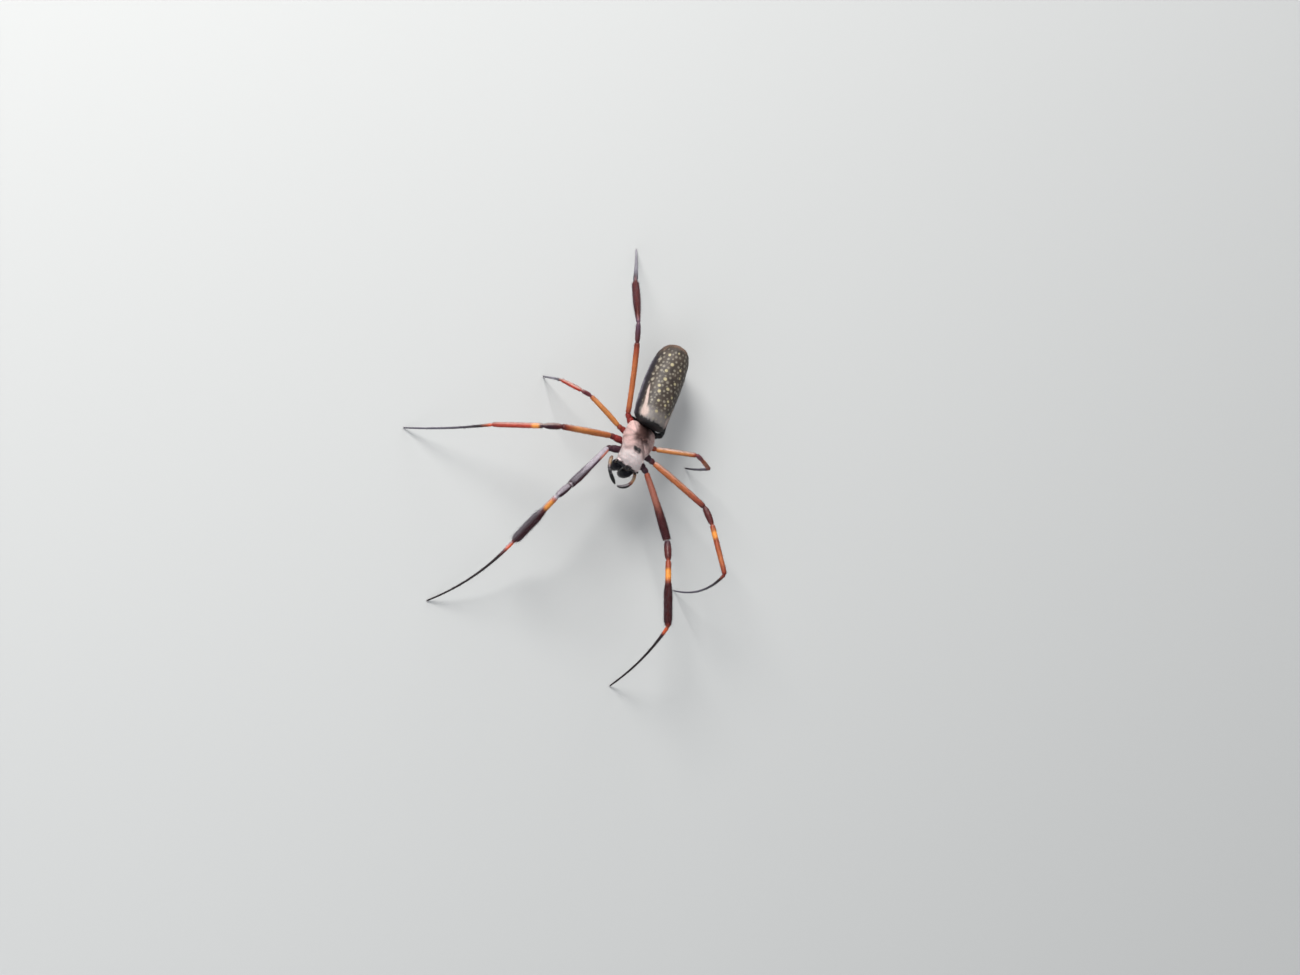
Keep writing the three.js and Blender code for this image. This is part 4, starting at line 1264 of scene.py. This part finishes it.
def dark_brush(name, shell, places, brush, seed):
    """Long dark hairs, painted pale as a sheen on the leg's sheen side, with a fringe of thin pale ones
    beyond them.
    """
    start, fullest, end, size, count = brush
    edge, low, _, _, in_brush = LEG_SHEENS.get(name, OTHER_LEG_SHEEN)
    weight = brush_weight(places, start, fullest, end) + LEAST_WEIGHT
    roots = Roots(shell, count, weight, seed)
    dense = brush_weight(roots.read(places), start, fullest, end)
    dark = colour("plum") * 0.7 + colour("maroon") * 0.6
    shade = mixed(roots.paint * 0.5 + dark * 0.35, dark, smooth_step(dense, 0.1, 0.6))
    # Brush hairs on the side that faces the sky take the painted sheen's colour
    sheen_side = in_brush * sheen_facing(shell, low - 0.3, low + 0.4)
    shade = mixed(shade, colour(edge) * 0.7, roots.read(sheen_side)) * roots.varied(0.6, 1.6)
    length = size * (0.5 + 0.5 * dense[:, None])
    fringe = Roots(shell, count / HAIRS_PER_FRINGE, weight, seed + 4)
    return [hairs(roots, shade, length=length, width=0.034, lift=36, bend=0.4, sweep=0.2),
            hairs(fringe, colour("pale_slate") * 0.5, length=size * 1.5, width=0.018, lift=44, bend=0.3,
                  sweep=0.2)]


def pale_brush(shell, places, seed):
    start, fullest, end, size, count = PALE_BRUSH
    roots = Roots(shell, count, brush_weight(places, start, fullest, end) + LEAST_WEIGHT, seed)
    return hairs(roots, roots.paint * 1.05, length=size, width=0.036, lift=26, bend=0.4)


def make_claws(name, shell):
    """Two side claws and a middle one, curving down at the foot."""
    tip = shell.points[-3].mean(0)
    ahead = unit(shell.points[-1].mean(0) - shell.points[-14].mean(0))
    level = unit(ahead * np.array([1, 1, 0.0]) + 1e-6)
    side = np.cross(level, [0, 0, 1])
    claws = []
    for across, reach in ((-0.55, 0.34), (0.55, 0.34), (0, 0.22)):
        out = unit(level + side * across)
        end = tip + out * reach
        end[2] = 0.03
        knee = tip + out * reach * 0.6
        knee[2] = tip[2] + 0.14
        share = spread_rows(16)
        claw = tube_surface(bezier([tip, knee, end], share), 0.042 * (1 - 0.8 * share), 10, (0, 0, 1))
        claw.keep_above(CLAW_ABOVE_FLOOR)
        claw.fill("black")
        claw.layer("maroon", 0.4 * share)
        claws.append(claw)
    skin_mesh(f"{name}_claws", claws, "claw_shell")


# Floor, light and camera

def plain_material(name, tone, roughness):
    material, _, shader = nodes_of(name)
    shader.inputs["Base Color"].default_value = (*tone, 1)
    shader.inputs["Roughness"].default_value = roughness
    return material


# The floor lies a little under the feet, so that it doesn't flicker with them. Sizes are in metres
FLOOR_SIZE = 6
FLOOR_HEIGHT = -0.00002
FLOOR_TONE = (0.53, 0.54, 0.54)
SKY_TONE = (0.93, 0.96, 1.0, 1)
SKY_STRENGTH = 0.31


def make_stage():
    bpy.ops.mesh.primitive_plane_add(size=FLOOR_SIZE, location=(0, 0, FLOOR_HEIGHT))
    floor = bpy.context.object
    floor.name = "floor"
    floor.data.materials.append(plain_material("floor_paint", FLOOR_TONE, 0.9))
    world = bpy.data.worlds.new("studio")
    world.use_nodes = True
    sky = world.node_tree.nodes["Background"]
    sky.inputs["Color"].default_value = SKY_TONE
    sky.inputs["Strength"].default_value = SKY_STRENGTH
    bpy.context.scene.world = world
    bpy.context.scene.view_settings.view_transform = "Standard"


def add_light(name, place, energy, size, tone=(1, 1, 1)):
    """A square soft light at a place in metres, aimed at the spider."""
    lamp = bpy.data.lights.new(name, "AREA")
    lamp.energy, lamp.size, lamp.color = energy, size, tone
    holder = bpy.data.objects.new(name, lamp)
    bpy.context.scene.collection.objects.link(holder)
    holder.location = place
    aim = Vector(BODY_AT * MM) - Vector(place)
    holder.rotation_euler = aim.to_track_quat("-Z", "Y").to_euler()


def make_lights():
    add_light("key", (-0.42, 0.26, 0.4), energy=5.0, size=0.26, tone=(1.0, 0.98, 0.95))
    add_light("fill", (-0.2, -0.48, 0.42), energy=1.5, size=0.5, tone=(0.95, 0.97, 1.0))
    add_light("rim", (-0.12, 0.6, 0.22), energy=1.6, size=0.35)


def make_camera():
    camera = bpy.data.cameras.new("camera")
    camera.lens, camera.sensor_width = LENS, SENSOR
    camera.clip_start, camera.clip_end = 0.05, 20
    holder = bpy.data.objects.new("camera", camera)
    bpy.context.scene.collection.objects.link(holder)
    back = TO_CAMERA.normalized()
    up = (IMAGE_UP - back * IMAGE_UP.dot(back)).normalized()
    right = up.cross(back)
    aim = Vector(BODY_AT) + right * AIM_RIGHT + up * AIM_UP
    distance = VIEW_WIDTH * LENS / SENSOR
    holder.location = (aim + back * distance) * MM
    holder.rotation_euler = Matrix((right, up, back)).transposed().to_euler()
    bpy.context.scene.camera = holder


make_camera()
make_stage()
make_lights()
make_carapace()
make_sternum()
make_waist()
make_abdomen()
make_spinnerets()
make_jaws()
make_palps()
make_eyes()
for leg_name in LEGS:
    make_leg(leg_name)
